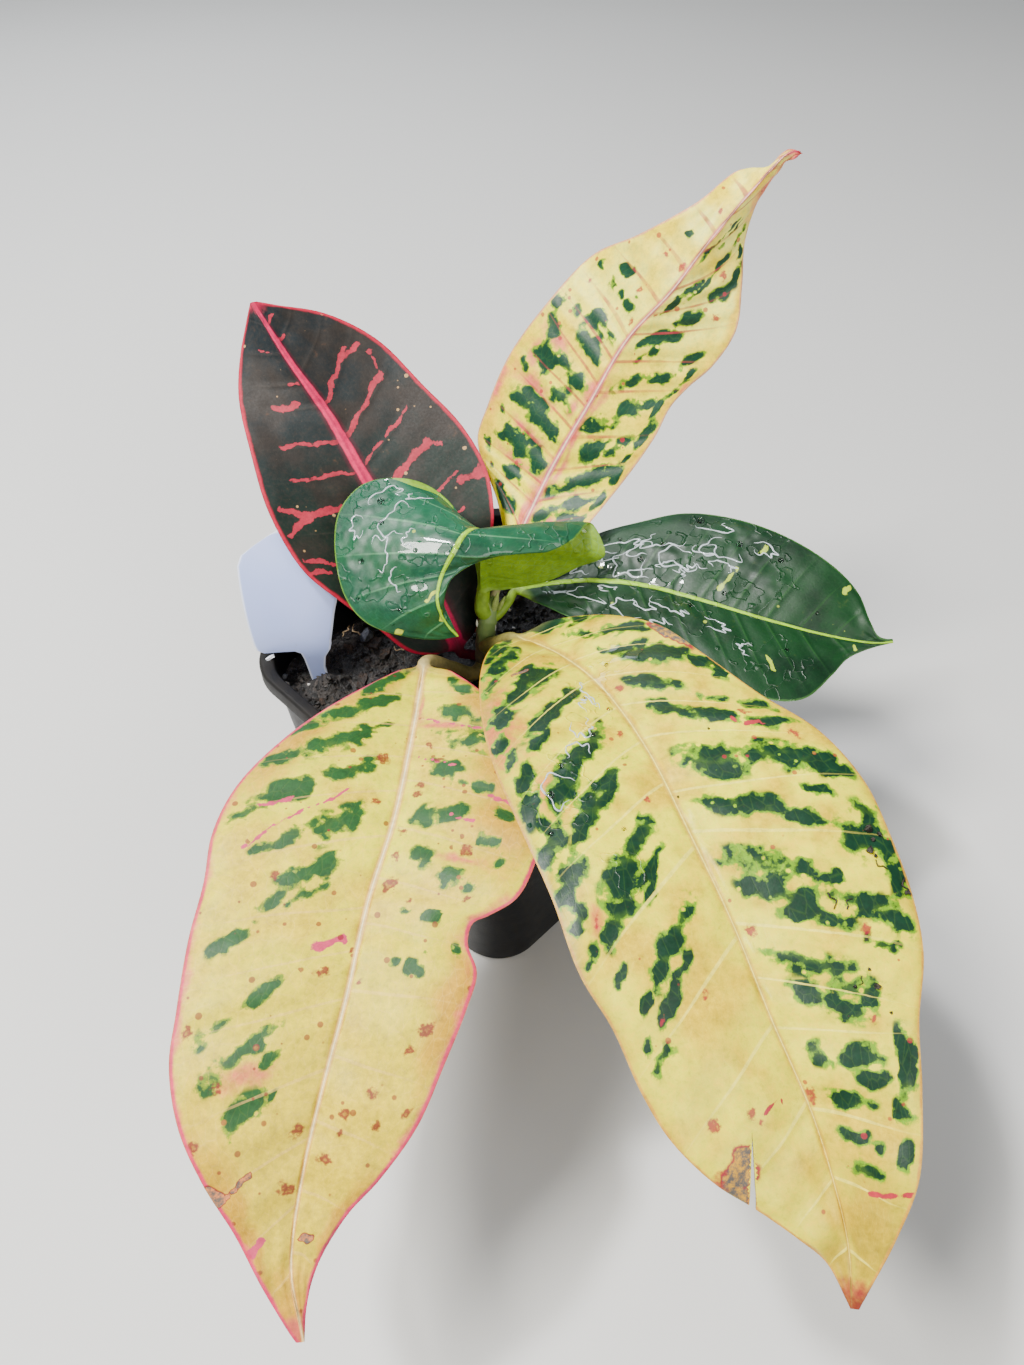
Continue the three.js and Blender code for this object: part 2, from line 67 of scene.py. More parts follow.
# Each leaf is three curves in mm: midrib, left edge and right edge, seen from the stalk with the
# upper face up, as in the CAD source. belly is the arch of each half, and lead lets the edges
# run ahead of the midrib. A side vein is where it starts on the midrib and where it ends at the
# edge, as shares of the blade's length.
LEAF_CURVES = {
    "leaf_upper_left": dict(
        stalk=[(-4, 2.5, 67), (-8, 4, 67.2)], stalk_radius=(1.5, 1.4), belly=-0.02, lead=0.9,
        rib=[
            (-11, 4, 68), (-19, 14, 82), (-29, 24, 96), (-39, 36, 109), (-48, 46, 121), (-57, 53, 132),
            (-63, 59, 139), (-68, 64, 145),
        ],
        left=[
            (-12, 3, 68), (-25, 1, 71), (-34, 1, 81), (-43, 1, 91), (-52, 4, 99), (-61, 15, 109),
            (-68, 33, 117), (-73, 50, 124), (-73, 60, 131), (-71, 66, 138), (-68, 64, 145),
        ],
        right=[
            (-9, 6, 68), (-6, 11, 71), (-4, 18, 84), (-2, 21, 95), (-1, 22, 104), (-3, 32, 112),
            (-10, 43, 119), (-21, 54, 125), (-35, 66, 133), (-49, 69, 139), (-62, 66, 143), (-67, 64, 145),
        ],
        veins=dict(
            left=[
                (-0.05, 0.0), (0.1, 0.13), (0.2, 0.23), (0.3, 0.34), (0.37, 0.42), (0.445, 0.46),
                (0.525, 0.53), (0.61, 0.62), (0.7, 0.72), (0.77, 0.79), (0.85, 0.87), (0.93, 0.95),
                (1, 1.02),
            ],
            right=[
                (-0.05, 0.0), (0.1, 0.15), (0.19, 0.25), (0.28, 0.35), (0.36, 0.42), (0.445, 0.49),
                (0.52, 0.59), (0.61, 0.68), (0.7, 0.79), (0.79, 0.86), (0.88, 0.92), (0.95, 0.98),
                (1.02, 1.04),
            ],
        ),
    ),
    "leaf_upper_right": dict(
        stalk=[(-2.6, 8.6, 79.5), (-1.2, 12, 82.5), (0.2, 14, 85.5)], stalk_radius=(1.3, 1.1), belly=-0.02,
        lead=0.85,
        rib=[
            (1, 15, 88), (7, 23, 98), (15, 32, 112), (25, 37, 130), (34, 41, 146), (44, 41, 159),
            (52, 44, 170), (61, 48, 180), (66, 50, 185), (69, 52, 187), (74, 56, 186),
        ],
        left=[
            (1, 16, 89), (2, 21, 94), (0, 31, 101), (-6, 48, 111), (-3, 50, 121), (3, 54, 134),
            (13, 56, 148), (25, 61, 159), (36, 53, 168), (49, 50, 177), (59, 56, 182), (65, 52, 184),
            (68, 54, 186), (70, 55, 187), (73, 54, 187),
        ],
        right=[
            (2, 16, 88), (8, 13, 92), (18, 13, 99), (31, 23, 109), (42, 29, 124), (46, 33, 131),
            (50, 34, 136), (56, 35, 142), (61, 38, 150), (62, 44, 159), (62, 49, 168), (64, 52, 176),
            (67, 51, 183), (69, 53, 185), (71, 52, 186), (73, 55, 186),
        ],
        veins=dict(
            left=[
                (-0.04, -0.02), (0.03, 0.05), (0.1, 0.15), (0.16, 0.17), (0.205, 0.2), (0.265, 0.27),
                (0.335, 0.34), (0.385, 0.38), (0.435, 0.45), (0.49, 0.49), (0.54, 0.54), (0.63, 0.62),
                (0.7, 0.7), (0.78, 0.78), (0.86, 0.86), (0.94, 0.94), (1.02, 1.02),
            ],
            right=[
                (-0.05, 0.0), (0.05, 0.1), (0.11, 0.19), (0.17, 0.25), (0.24, 0.31), (0.32, 0.37),
                (0.42, 0.47), (0.49, 0.55), (0.55, 0.63), (0.6, 0.71), (0.66, 0.8), (0.74, 0.86),
                (0.82, 0.92), (0.91, 0.97), (1.01, 1.03),
            ],
        ),
    ),
    "leaf_centre": dict(
        stalk=[(-3.4, 7, 80.5), (-4.3, 7, 82), (-4.4, 7.8, 84.5)], stalk_radius=(2.3, 1.9), belly=0.02,
        lead=1,
        rib=[
            (-4, 9, 88), (-4, 7, 100), (-4, 7, 110), (-8, 2, 113), (-11, -3, 111), (-14, -6, 106),
            (-15, -11, 101), (-13, -13, 96), (-10, -14, 92),
        ],
        left=[
            (-2, 8, 88), (14, 8, 92), (22, 9, 96), (29, 8, 101), (28, 10, 105), (25, 12, 109), (20, 5, 109),
            (13, 1, 108), (5, 0, 109), (-3, -2, 109), (-9, -4, 108), (-12, -6, 105), (-14, -9, 101),
            (-12, -12, 96), (-10, -14, 92),
        ],
        right=[
            (-5, 10, 88), (-7, 13, 99), (-11, 16, 110), (-18, 20, 115), (-26, 21, 117), (-36, 21, 115),
            (-42, 15, 111), (-43, 6, 106), (-40, -5, 98), (-34, -11, 94), (-24, -13, 91), (-15, -14, 91),
            (-11, -14, 92),
        ],
        veins=dict(
            left=[(0.1 * k, 0.1 * k + 0.03) for k in range(-1, 12)],
            right=[(0.1 * k, 0.1 * k + 0.03) for k in range(-1, 12)],
        ),
    ),
    "leaf_right": dict(
        stalk=[(-2.3, 6.8, 78.2), (0.4, 8, 80), (3, 10.8, 81.8)], stalk_radius=(1.5, 1.25), belly=0.03,
        lead=0.85,
        rib=[
            (5, 14, 83), (14, 12, 87), (26, 9, 91), (39, 5, 93), (54, -2, 94), (69, -9, 94), (84, -14, 93),
            (96, -16, 92), (103, -17, 93),
        ],
        left=[
            (5, 15, 84), (8, 17, 87), (15, 19, 92), (29, 23, 97), (40, 24, 100), (52, 24, 103),
            (65, 19, 105), (78, 11, 105), (89, 1, 103), (95, -5, 99), (97, -12, 96), (99, -16, 94),
            (103, -16, 93),
        ],
        right=[
            (6, 11, 83), (12, 5, 86), (19, -2, 88), (33, -12, 89), (47, -22, 89), (60, -29, 89),
            (71, -33, 88), (78, -32, 88), (86, -25, 89), (91, -20, 90), (98, -17, 91), (103, -17, 93),
        ],
        veins=dict(
            left=[(0.085 * k, 0.085 * k + 0.03) for k in range(-1, 13)],
            right=[(0.085 * k, 0.085 * k + 0.03) for k in range(-1, 13)],
        ),
    ),
    "leaf_lower_left": dict(
        stalk=[(-4, 2, 64.8), (-7.3, -2.4, 65.7), (-13, -7, 73)], stalk_radius=(2.2, 1.8), belly=0.03,
        lead=0.88,
        rib=[
            (-19, -18, 86), (-20, -48, 91), (-22, -73, 93), (-26, -92, 91), (-29, -112, 87),
            (-33, -129, 80), (-36, -142, 72), (-37, -154, 65), (-34, -165, 59),
        ],
        left=[
            (-18, -17, 86), (-11, -24, 89), (-3, -34, 92), (5, -49, 95), (10, -65, 96), (11, -76, 96),
            (9, -85, 95), (5, -93, 94), (-1, -96, 92), (-4, -97, 91), (-5, -101, 90), (-3, -107, 89),
            (-5, -114, 87), (-9, -123, 83), (-14, -133, 78), (-21, -141, 73), (-27, -146, 69),
            (-32, -153, 65), (-34, -159, 61), (-34, -165, 59),
        ],
        right=[
            (-20, -17, 86), (-29, -28, 91), (-40, -41, 95), (-49, -53, 97), (-57, -66, 97), (-60, -79, 97),
            (-60, -90, 95), (-61, -102, 93), (-61, -116, 90), (-61, -125, 87), (-58, -135, 83),
            (-53, -143, 78), (-47, -150, 71), (-42, -157, 65), (-37, -163, 60), (-35, -165, 59),
        ],
        veins=dict(
            left=[
                (-0.05, -0.01), (0.02, 0.06), (0.08, 0.11), (0.15, 0.19), (0.21, 0.25), (0.285, 0.32),
                (0.365, 0.39), (0.445, 0.46), (0.51, 0.52), (0.595, 0.59), (0.675, 0.69), (0.75, 0.77),
                (0.83, 0.85), (0.9, 0.92), (0.97, 0.98), (1.05, 1.05),
            ],
            right=[
                (-0.05, -0.02), (0.02, 0.04), (0.095, 0.11), (0.165, 0.19), (0.235, 0.27), (0.3, 0.35),
                (0.385, 0.42), (0.485, 0.5), (0.545, 0.57), (0.61, 0.63), (0.69, 0.73), (0.77, 0.81),
                (0.85, 0.88), (0.92, 0.94), (1, 1.01),
            ],
        ),
    ),
    "leaf_lower_right": dict(
        stalk=[(-4, 4, 71), (-2.6, 1.4, 73.5), (0.2, -1, 77.3)], stalk_radius=(2.4, 1.5), belly=0.04,
        lead=0.88,
        rib=[
            (4, -4, 82), (15, -18, 90), (25, -36, 97), (34, -59, 101), (41, -82, 101), (48, -100, 96),
            (54, -116, 89), (61, -131, 80), (65, -142, 72), (67, -151, 66), (67, -160, 60),
        ],
        left=[
            (5, -3, 83), (17, -5, 90), (30, -10, 96), (41, -19, 101), (50, -32, 104), (61, -46, 105),
            (72, -58, 106), (79, -71, 105), (82, -84, 103), (84, -96, 100), (84, -107, 97), (81, -119, 93),
            (80, -130, 88), (78, -143, 81), (74, -151, 73), (70, -157, 65), (68, -160, 60),
        ],
        right=[
            (3, -5, 83), (-2, -16, 89), (-4, -32, 95), (-3, -49, 99), (0, -65, 102), (6, -82, 102),
            (12, -97, 100), (17, -111, 96), (23, -120, 92), (28, -130, 87), (33, -137, 83), (41, -143, 78),
            (49, -146, 73), (57, -150, 69), (63, -153, 64), (66, -158, 61), (67, -160, 60),
        ],
        veins=dict(
            left=[
                (-0.04, 0.0), (0.03, 0.09), (0.09, 0.17), (0.15, 0.22), (0.21, 0.29), (0.28, 0.35),
                (0.345, 0.4), (0.435, 0.455), (0.49, 0.53), (0.6, 0.645), (0.66, 0.7), (0.715, 0.72),
                (0.8, 0.81), (0.87, 0.88), (0.94, 0.95), (1.01, 1.01),
            ],
            right=[
                (-0.04, 0.0), (0.03, 0.08), (0.09, 0.16), (0.155, 0.22), (0.21, 0.29), (0.28, 0.35),
                (0.35, 0.4), (0.42, 0.45), (0.51, 0.555), (0.615, 0.665), (0.71, 0.75), (0.79, 0.82),
                (0.87, 0.89), (0.94, 0.95), (1.01, 1.01),
            ],
        ),
        tear=dict(apex=(48.5, -135.5), mouth=(48.5, -150), width=1.8),
    ),
}

# ---------------------------------------------------------------- small helpers
CURVE_STEPS = 60  # points worked out for each knot of a smooth line
WELD = 1e-6  # vertices nearer than this, in metres, are one


def colour(red, green, blue):
    """A screen colour, 0 to 255 a channel, as the linear colour that a shader socket takes."""
    channels = [c / 255 for c in (red, green, blue)]
    linear = [c / 12.92 if c < 0.04045 else ((c + 0.055) / 1.055) ** 2.4 for c in channels]
    return (*linear, 1.0)


def ease(x):
    x = np.clip(x, 0, 1)
    return x * x * (3 - 2 * x)


def bell(x):
    return np.exp(-(x**2))


def unit(vectors):
    return vectors / np.maximum(np.linalg.norm(vectors, axis=-1, keepdims=True), 1e-9)


def smooth_line(points, shares):
    """Points at shares of the length of the smooth curve (centripetal Catmull-Rom) through points."""
    knots = np.array(points, float)
    ends = np.vstack([2 * knots[0] - knots[1], knots, 2 * knots[-1] - knots[-2]])
    t = np.linspace(0, len(knots) - 1, CURVE_STEPS * len(knots))
    first = np.minimum(t.astype(int), len(knots) - 2)
    w = (t - first)[:, None]
    p0, p1, p2, p3 = (ends[first + k] for k in range(4))
    d0, d1, d2 = (np.linalg.norm(b - a, axis=1)[:, None] ** 0.5 for a, b in ((p0, p1), (p1, p2), (p2, p3)))
    out = d1 * ((p1 - p0) / d0 - (p2 - p0) / (d0 + d1) + (p2 - p1) / d1)
    back = d1 * ((p2 - p1) / d1 - (p3 - p1) / (d1 + d2) + (p3 - p2) / d2)
    line = p1 + out * w + (3 * (p2 - p1) - 2 * out - back) * w**2 + (2 * (p1 - p2) + out + back) * w**3
    run = np.concatenate([[0], np.cumsum(np.linalg.norm(np.diff(line, axis=0), axis=1))])
    return np.stack([np.interp(shares, run / run[-1], line[:, k]) for k in range(3)], axis=-1)


def rings(centre, aside, above, radius, angle):
    """Rings of points round a line; radius has a row for each ring."""
    spokes = aside[:, None] * np.cos(angle)[:, None] + above[:, None] * np.sin(angle)[:, None]
    return centre[:, None] + spokes * radius[..., None]


def noise_at(places, scale, seed=0.0):
    """Smooth noise, about -1 to 1, at rows of 3 coordinates."""
    flat = np.asarray(places, float).reshape(-1, 3) * scale + seed
    found = [noise.noise(Vector(p)) for p in flat]
    return np.array(found).reshape(np.asarray(places).shape[:-1])


def deselect():
    for thing in bpy.context.selected_objects:
        thing.select_set(False)


def only(piece):
    deselect()
    piece.select_set(True)
    bpy.context.view_layer.objects.active = piece


def start(add, **settings):
    """A new primitive, made by one of Blender's add operators, with nothing else selected."""
    deselect()
    add(**settings)
    return bpy.context.object


def edit(piece):
    only(piece)
    bpy.ops.object.mode_set(mode="EDIT")
    bpy.ops.mesh.select_all(action="SELECT")


def leave_edit():
    """Leaves edit mode with all faces turned outwards."""
    bpy.ops.mesh.select_all(action="SELECT")
    bpy.ops.mesh.normals_make_consistent(inside=False)
    bpy.ops.object.mode_set(mode="OBJECT")


def subdivide(piece, cuts):
    edit(piece)
    bpy.ops.mesh.subdivide(number_cuts=cuts)
    bpy.ops.object.mode_set(mode="OBJECT")


def fill_openings():
    bpy.ops.mesh.select_all(action="SELECT")
    bpy.ops.mesh.fill_holes(sides=0)


def settle(piece):
    """Puts the piece's place into its mesh."""
    only(piece)
    bpy.ops.object.transform_apply(location=True, rotation=True, scale=True)


def join(pieces):
    only(pieces[0])
    for piece in pieces[1:]:
        piece.select_set(True)
    bpy.ops.object.join()
    return bpy.context.object


def carve(piece, tool):
    """Takes a tool's shape out of a piece, and removes the tool."""
    only(piece)
    cut = piece.modifiers.new("cut", "BOOLEAN")
    cut.operation = "DIFFERENCE"
    cut.solver = "EXACT"
    cut.object = tool
    bpy.ops.object.modifier_apply(modifier=cut.name)
    bpy.data.objects.remove(tool)


def hand_over(piece, name, material, angle, nodes=()):
    """Finishes a piece: smooth below an angle in degrees, dressed, named, and on the body."""
    only(piece)
    bpy.ops.object.shade_smooth_by_angle(angle=math.radians(angle))
    piece.data.materials.clear()
    piece.data.materials.append(material)
    piece.name = name
    piece.data.name = name
    if nodes:
        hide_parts(*nodes)
    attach(piece, "root")
    return piece


def sheet_of(places, fields=None):
    """A grid whose vertices are moved to places, rows by columns of points in mm.

    Each row is a ring: its last column meets its first, and both end rows are filled. fields are
    named values at the same points, which the materials read.
    """
    rows, columns = places.shape[:2]
    cells_each_way = {"x_subdivisions": columns - 1, "y_subdivisions": rows - 1}
    piece = start(bpy.ops.mesh.primitive_grid_add, size=1, **cells_each_way)
    mesh = piece.data
    mesh.vertices.foreach_set("co", (places * MM).reshape(-1))
    for name, values in (fields or {}).items():
        attribute = mesh.attributes.new(name, "FLOAT", "POINT")
        attribute.data.foreach_set("value", values.astype(np.float32).reshape(-1))
    mesh.update()
    edit(piece)
    bpy.ops.mesh.remove_doubles(threshold=WELD)
    fill_openings()
    leave_edit()
    return piece


# ---------------------------------------------------------------- shader helpers


class Wire:
    """A value that runs through a shader tree, so that a shader is written as sums."""

    def __init__(self, tree, socket):
        self.tree = tree
        self.socket = socket

    def calc(self, operation, a, b=0.0):
        return put(self.tree, "ShaderNodeMath", {0: a, 1: b}, operation=operation)[0]

    def __add__(self, other):
        return self.calc("ADD", self, other)

    def __sub__(self, other):
        return self.calc("SUBTRACT", self, other)

    def __rsub__(self, other):
        return self.calc("SUBTRACT", other, self)

    def __mul__(self, other):
        return self.calc("MULTIPLY", self, other)

    def __truediv__(self, other):
        return self.calc("DIVIDE", self, other)

    def __pow__(self, other):
        return self.calc("POWER", self, other)

    def __lt__(self, other):
        return self.calc("LESS_THAN", self, other)

    def __gt__(self, other):
        return self.calc("GREATER_THAN", self, other)

    def __abs__(self):
        return self.calc("ABSOLUTE", self)

    __radd__ = __add__
    __rmul__ = __mul__

    def step(self, low, high, start=0.0, end=1.0):
        """A soft step from start to end as the value goes from low to high."""
        inputs = {"Value": self, "From Min": low, "From Max": high, "To Min": start, "To Max": end}
        return put(self.tree, "ShaderNodeMapRange", inputs, interpolation_type="SMOOTHSTEP")[0]

    def blend(self, a, b):
        """From colour a to colour b as this share goes from 0 to 1."""
        return put(self.tree, "ShaderNodeMix", {0: self, 6: a, 7: b}, data_type="RGBA")[2]

    def toward(self, other, share, blend="MIX"):
        """This colour with a share of another in it."""
        inputs = {0: share, 6: self, 7: other}
        return put(self.tree, "ShaderNodeMix", inputs, data_type="RGBA", blend_type=blend)[2]


def fill(sockets, values):
    """Links or sets sockets by name or number."""
    for name, value in values.items():
        if isinstance(value, Wire):
            value.tree.links.new(value.socket, sockets[name])
        else:
            sockets[name].default_value = value


def put(tree, kind, inputs=None, **settings):
    """Places a node with its settings and inputs, and gives its outputs by number and by name."""
    made = tree.nodes.new(kind)
    for name, value in settings.items():
        setattr(made, name, value)
    fill(made.inputs, inputs or {})
    outputs = [Wire(tree, socket) for socket in made.outputs]
    return {**dict(enumerate(outputs)), **{wire.socket.name: wire for wire in outputs}}


def cloud(where, scale, detail=2.0, roughness=0.5):
    inputs = {"Vector": where, "Scale": scale, "Detail": detail, "Roughness": roughness}
    return put(where.tree, "ShaderNodeTexNoise", inputs)["Fac"]


def cells(where, scale, **settings):
    return put(where.tree, "ShaderNodeTexVoronoi", {"Vector": where, "Scale": scale}, **settings)


def field(tree, name):
    return put(tree, "ShaderNodeAttribute", attribute_name=name)["Fac"]


def object_place(tree):
    return put(tree, "ShaderNodeTexCoord")["Object"]


def height_of(where):
    return put(where.tree, "ShaderNodeSeparateXYZ", {0: where})["Z"]


def relief(height, strength, distance):
    """The normal of a surface with fine relief; distance is its depth in metres."""
    inputs = {"Strength": strength, "Distance": distance, "Height": height}
    return put(height.tree, "ShaderNodeBump", inputs)[0]


def shader_value(value):
    """A number as it is, and a screen colour as a linear one."""
    return colour(*value) if isinstance(value, tuple) else value


def new_group(name, inputs, outputs):
    """An empty shader node group; inputs and outputs are names, with a value for each input."""
    tree = bpy.data.node_groups.new(name, "ShaderNodeTree")
    for label, value in inputs.items():
        kind = "NodeSocketColor" if isinstance(value, tuple) else "NodeSocketFloat"
        socket = tree.interface.new_socket(name=label, in_out="INPUT", socket_type=kind)
        socket.default_value = shader_value(value)
    for label in outputs:
        kind = "NodeSocketColor" if label == "Colour" else "NodeSocketFloat"
        tree.interface.new_socket(name=label, in_out="OUTPUT", socket_type=kind)
    return tree, put(tree, "NodeGroupInput"), tree.nodes.new("NodeGroupOutput").inputs


def new_material(name):
    """A material, its shader's inputs and the object's own coordinates."""
    material = bpy.data.materials.new(name)
    material.use_nodes = True
    tree = material.node_tree
    return material, tree.nodes["Principled BSDF"].inputs, object_place(tree)


# ---------------------------------------------------------------- leaf material
LEAF_FIELDS = ("along", "across", "way", "rib", "rim", "under", "blotch", "tint", "deep_and_shade", "streak", "spot",
               "wet", "scar")
LEAF_SKIN_INPUTS = {
    "Ground": (200, 170, 90), "Far ground": (200, 170, 90), "Mottle": (190, 160, 90),
    "Tint": (205, 130, 110), "Blotch": (60, 90, 45), "Halo": (150, 160, 60), "Vein": (225, 205, 140),
    "Midrib": (230, 210, 150), "Midrib core": (230, 210, 150), "Margin": (200, 90, 90),
    "Speck": (120, 40, 30), "Scar": (110, 95, 80), "Underside": (120, 130, 80),
    "Streak": (210, 96, 112), "Flank": (150, 110, 60), "Stalk": (140, 140, 80),
    "Deep": (180, 140, 40), "Tip": (170, 30, 60), "Tip share": 0.0, "Tip start": 0.96,
    "Vein width": 0.07, "Vein strength": 0.8, "Vein breaks": 0.0, "Margin width": 0.8,
    "Speck share": 0.1, "Net strength": 0.07, "Ragged": 0.5, "Dry roughness": 0.36, "Ripple": 1.0,
}
LEAF_BUMP = 0.35
LEAF_RELIEF = 0.0003  # depth of a leaf's fine relief, in metres
WATER_GLOSS = 0.04
WATER_BENDING = 1.33  # water's index of refraction


def make_leaf_skin():
    """The group that colours a leaf from the fields that its mesh carries.

    Each mark is a soft field, which noise makes uneven before a step gives it its edge.
    """
    tree, given, result = new_group("leaf_skin", LEAF_SKIN_INPUTS, ["Colour", "Roughness", "Wet", "Height"])
    along, across, way, rib, rim, under, blotch, tint, deep_and_shade, streak, spot, wet, scar = (
        field(tree, name) for name in LEAF_FIELDS)
    here = object_place(tree)
    broad = cloud(here, 70, 3)
    middle = cloud(here, 260, 4, 0.6)
    grain = cloud(here, 800, 4, 0.7)
    fine = cloud(here, 1500)
    wobble = middle - 0.5
    lumps = cloud(here, 210, 1.5) - 0.5
    frayed = cloud(here, 650, 3, 0.6) - 0.5
    grit = cloud(here, 1100, 3, 0.6) - 0.5
    dots = cells(here, 420)
    pick = put(tree, "ShaderNodeSeparateColor", {"Color": dots["Color"]})

    # the ground: two tones along the blade, mottled, with deeper areas that are partly painted shade, and
    # tinted areas
    shade = given["Ground"].toward(given["Far ground"], along.step(0.3, 0.8))
    shade = shade.toward(given["Mottle"], broad.step(0.42, 0.66))
    shade = shade.toward(given["Mottle"], grain.step(0.44, 0.64, 0, 0.5))
    # deeper areas: partly the leaf's own deeper colour and partly painted shade, such as where another leaf
    # shadows the blade and towards its tip
    shade = shade.toward(given["Deep"], (deep_and_shade + wobble * 0.8).step(0.1, 0.9, 0, 0.9))
    shade = shade.toward(given["Tint"], (tint + wobble * 1.5).step(0.2, 1.1, 0, 0.8))

    # the green marks: lumpy outlines, yellow-green rims and small pale holes
    hole = dots["Distance"].step(0.08, 0.3, 0.5, 0) * (pick[2] > 0.7)
    torn = blotch + (lumps * 2.3 + frayed * 0.8) * given["Ragged"] * 1.7 - hole
    some = blotch.step(0.01, 0.16)
    shade = shade.toward(given["Halo"], torn.step(0.06, 0.32) * some)
    green = torn.step(0.36, 0.56) * some
    shade = shade.toward(given["Blotch"].toward(given["Halo"], lumps.step(-0.14, 0, 0.16, 0)), green)

    # the side veins, which thin out and fade towards the edge, and the net between them
    outward = abs(across)
    whole_way = way.calc("FRACT", way)
    off_vein = 0.5 - abs(whole_way - 0.5)
    reach = given["Vein width"] * outward.step(0.1, 1, 1, 0.45)
    kept = 1.0 - cloud(here, 190, 1).step(0.4, 0.62) * given["Vein breaks"]
    line = (off_vein / reach + wobble * 0.8).step(0.6, 1.25, 1, 0) * kept * given["Vein strength"]
    line = line * outward.step(0.45, 0.9, 1, 0.25)
    shade = shade.toward(given["Vein"], line)
    along_vein = put(tree, "ShaderNodeCombineXYZ", {0: way * 4, 1: across * 16})[0]
    mesh = cells(along_vein, 1, feature="DISTANCE_TO_EDGE", voronoi_dimensions="2D")["Distance"]
    net = mesh.step(0, 0.09, 1, 0)
    shade = shade.toward(given["Vein"], net * given["Net strength"] * (1.0 - green))
    shade = shade.toward(given["Halo"], net * green * 0.07)

    # streaks, small round specks, larger spots with a paler middle, and freckles
    streaked = (streak + wobble * 0.9 + frayed * 1.1).step(0.4, 0.6) * streak.step(0.02, 0.2)
    shade = shade.toward(given["Streak"], streaked)
    speck = (dots["Distance"] - pick[1] * 0.3).step(-0.04, 0.04, 1, 0)
    shade = shade.toward(given["Speck"], speck * (pick[0] < given["Speck share"]) * 0.75)
    rough_spot = spot + (frayed + grit) * 1.3
    ring = rough_spot.step(0.2, 0.7) - rough_spot.step(0.8, 1.1, 0, 0.3)
    shade = shade.toward(given["Speck"], ring * spot.step(0.05, 0.3, 0, 0.9))
    shade = shade.toward(given["Speck"], grit.step(0.2, 0.32, 0, 0.3))

    # the margin, the midrib with its flanks, and dead brown places
    edge = (rim + wobble) / given["Margin width"]
    shade = shade.toward(given["Margin"], edge.step(0.5, 1.2, 1, 0))
    off_rib = rib + wobble * 0.5
    # darker flanks beside the raised midrib: partly the leaf's own colour and partly painted shade along the
    # midrib's sides
    shade = shade.toward(given["Flank"], off_rib.step(1.1, 2, 0.45, 0))
    shade = shade.toward(given["Midrib"], off_rib.step(0.75, 1.1, 1, 0))
    shade = shade.toward(given["Midrib core"], off_rib.step(0.1, 0.4, 1, 0))
    dead = scar + wobble * 0.8
    scarred = dead.step(0.45, 0.6)
    shade = shade.toward(given["Speck"], dead.step(0.3, 0.48))
    shade = shade.toward(given["Scar"].toward(given["Flank"], grain.step(0.4, 0.62)), scarred)

    # the underside, the stalk and the tip, and a light and dark grain over everything
    below = given["Underside"].toward(given["Vein"], line.calc("MAXIMUM", line, net) * 0.35)
    shade = shade.toward(below.toward(given["Blotch"], green * 0.4), under)
    shade = shade.toward(given["Stalk"], along.step(0.005, 0.05, 0.85, 0))
    tip = (along + wobble * 0.06).step(given["Tip start"], 0.985)
    shade = shade.toward(given["Tip"], tip * given["Tip share"])
    depth = grain + middle * 0.8 + 0.1
    grey = put(tree, "ShaderNodeCombineColor", {0: depth, 1: depth, 2: depth})[0]
    shade = shade.toward(grey, 1.0, "MULTIPLY")

    # the film of water, with a raised brim
    film = (wet + (cloud(here, 230, 1) - 0.5) * 2.4) * wet.step(0.02, 0.15)
    filmed = film.step(0.46, 0.52)
    brim = film.step(0.42, 0.49) - film.step(0.49, 0.56)
    dry = given["Dry roughness"] + (fine - 0.5) * 0.2 + scarred * 0.35
    skin_height = (net * -0.06 + fine * 0.25 + middle * 0.5) * (1.0 - filmed * 0.7)
    water = filmed * (cloud(here, 300, 0) * given["Ripple"] + 0.8)
    fill(result, {
        "Colour": shade,
        "Roughness": dry * (1.0 - filmed * 0.1),
        "Wet": filmed * 0.8 + brim * 0.2,
        "Height": skin_height + water + brim * 6,
    })
    return tree


leaf_skin = make_leaf_skin()


def leaf_material(name, sheen, **values):
    """A leaf's material: values fill the skin group's inputs by name, with _ for a space."""
    material, shader, here = new_material(name)
    inputs = {key.replace("_", " "): shader_value(value) for key, value in values.items()}
    skin = put(here.tree, "ShaderNodeGroup", inputs, node_tree=leaf_skin)
    fill(shader, {
        "Base Color": skin["Colour"], "Roughness": skin["Roughness"], "Specular IOR Level": sheen,
        "Coat Weight": skin["Wet"], "Coat Roughness": WATER_GLOSS, "Coat IOR": WATER_BENDING,
        "Normal": relief(skin["Height"], LEAF_BUMP, LEAF_RELIEF),
    })
    return material


# ---------------------------------------------------------------- leaf shapes
UPPER_HALF = 56  # columns of the upper face on each side of the midrib
LOWER_HALF = 24
BLADE_ROWS = 230
STALK_ROWS = 26
TIP = 0.996  # where the blade's last row lies
OUTERMOST = 0.985  # where the column next to the edge lies
CROWDING = 1.35  # how much closer the columns are near the midrib
SLOPE_STEP = 0.002
SIDES = ((1, "left"), (-1, "right"))


def across_shares(count):
    """Shares of a half, from its edge to the midrib and out again, closer near the midrib."""
    half = np.linspace(1, 0, count + 1) ** CROWDING
    return np.concatenate([half, -half[-2::-1]]) * OUTERMOST


def middles(count):
    """Shares of a length at the middle of each of its equal parts."""
    return (np.arange(count) + 0.5) / count


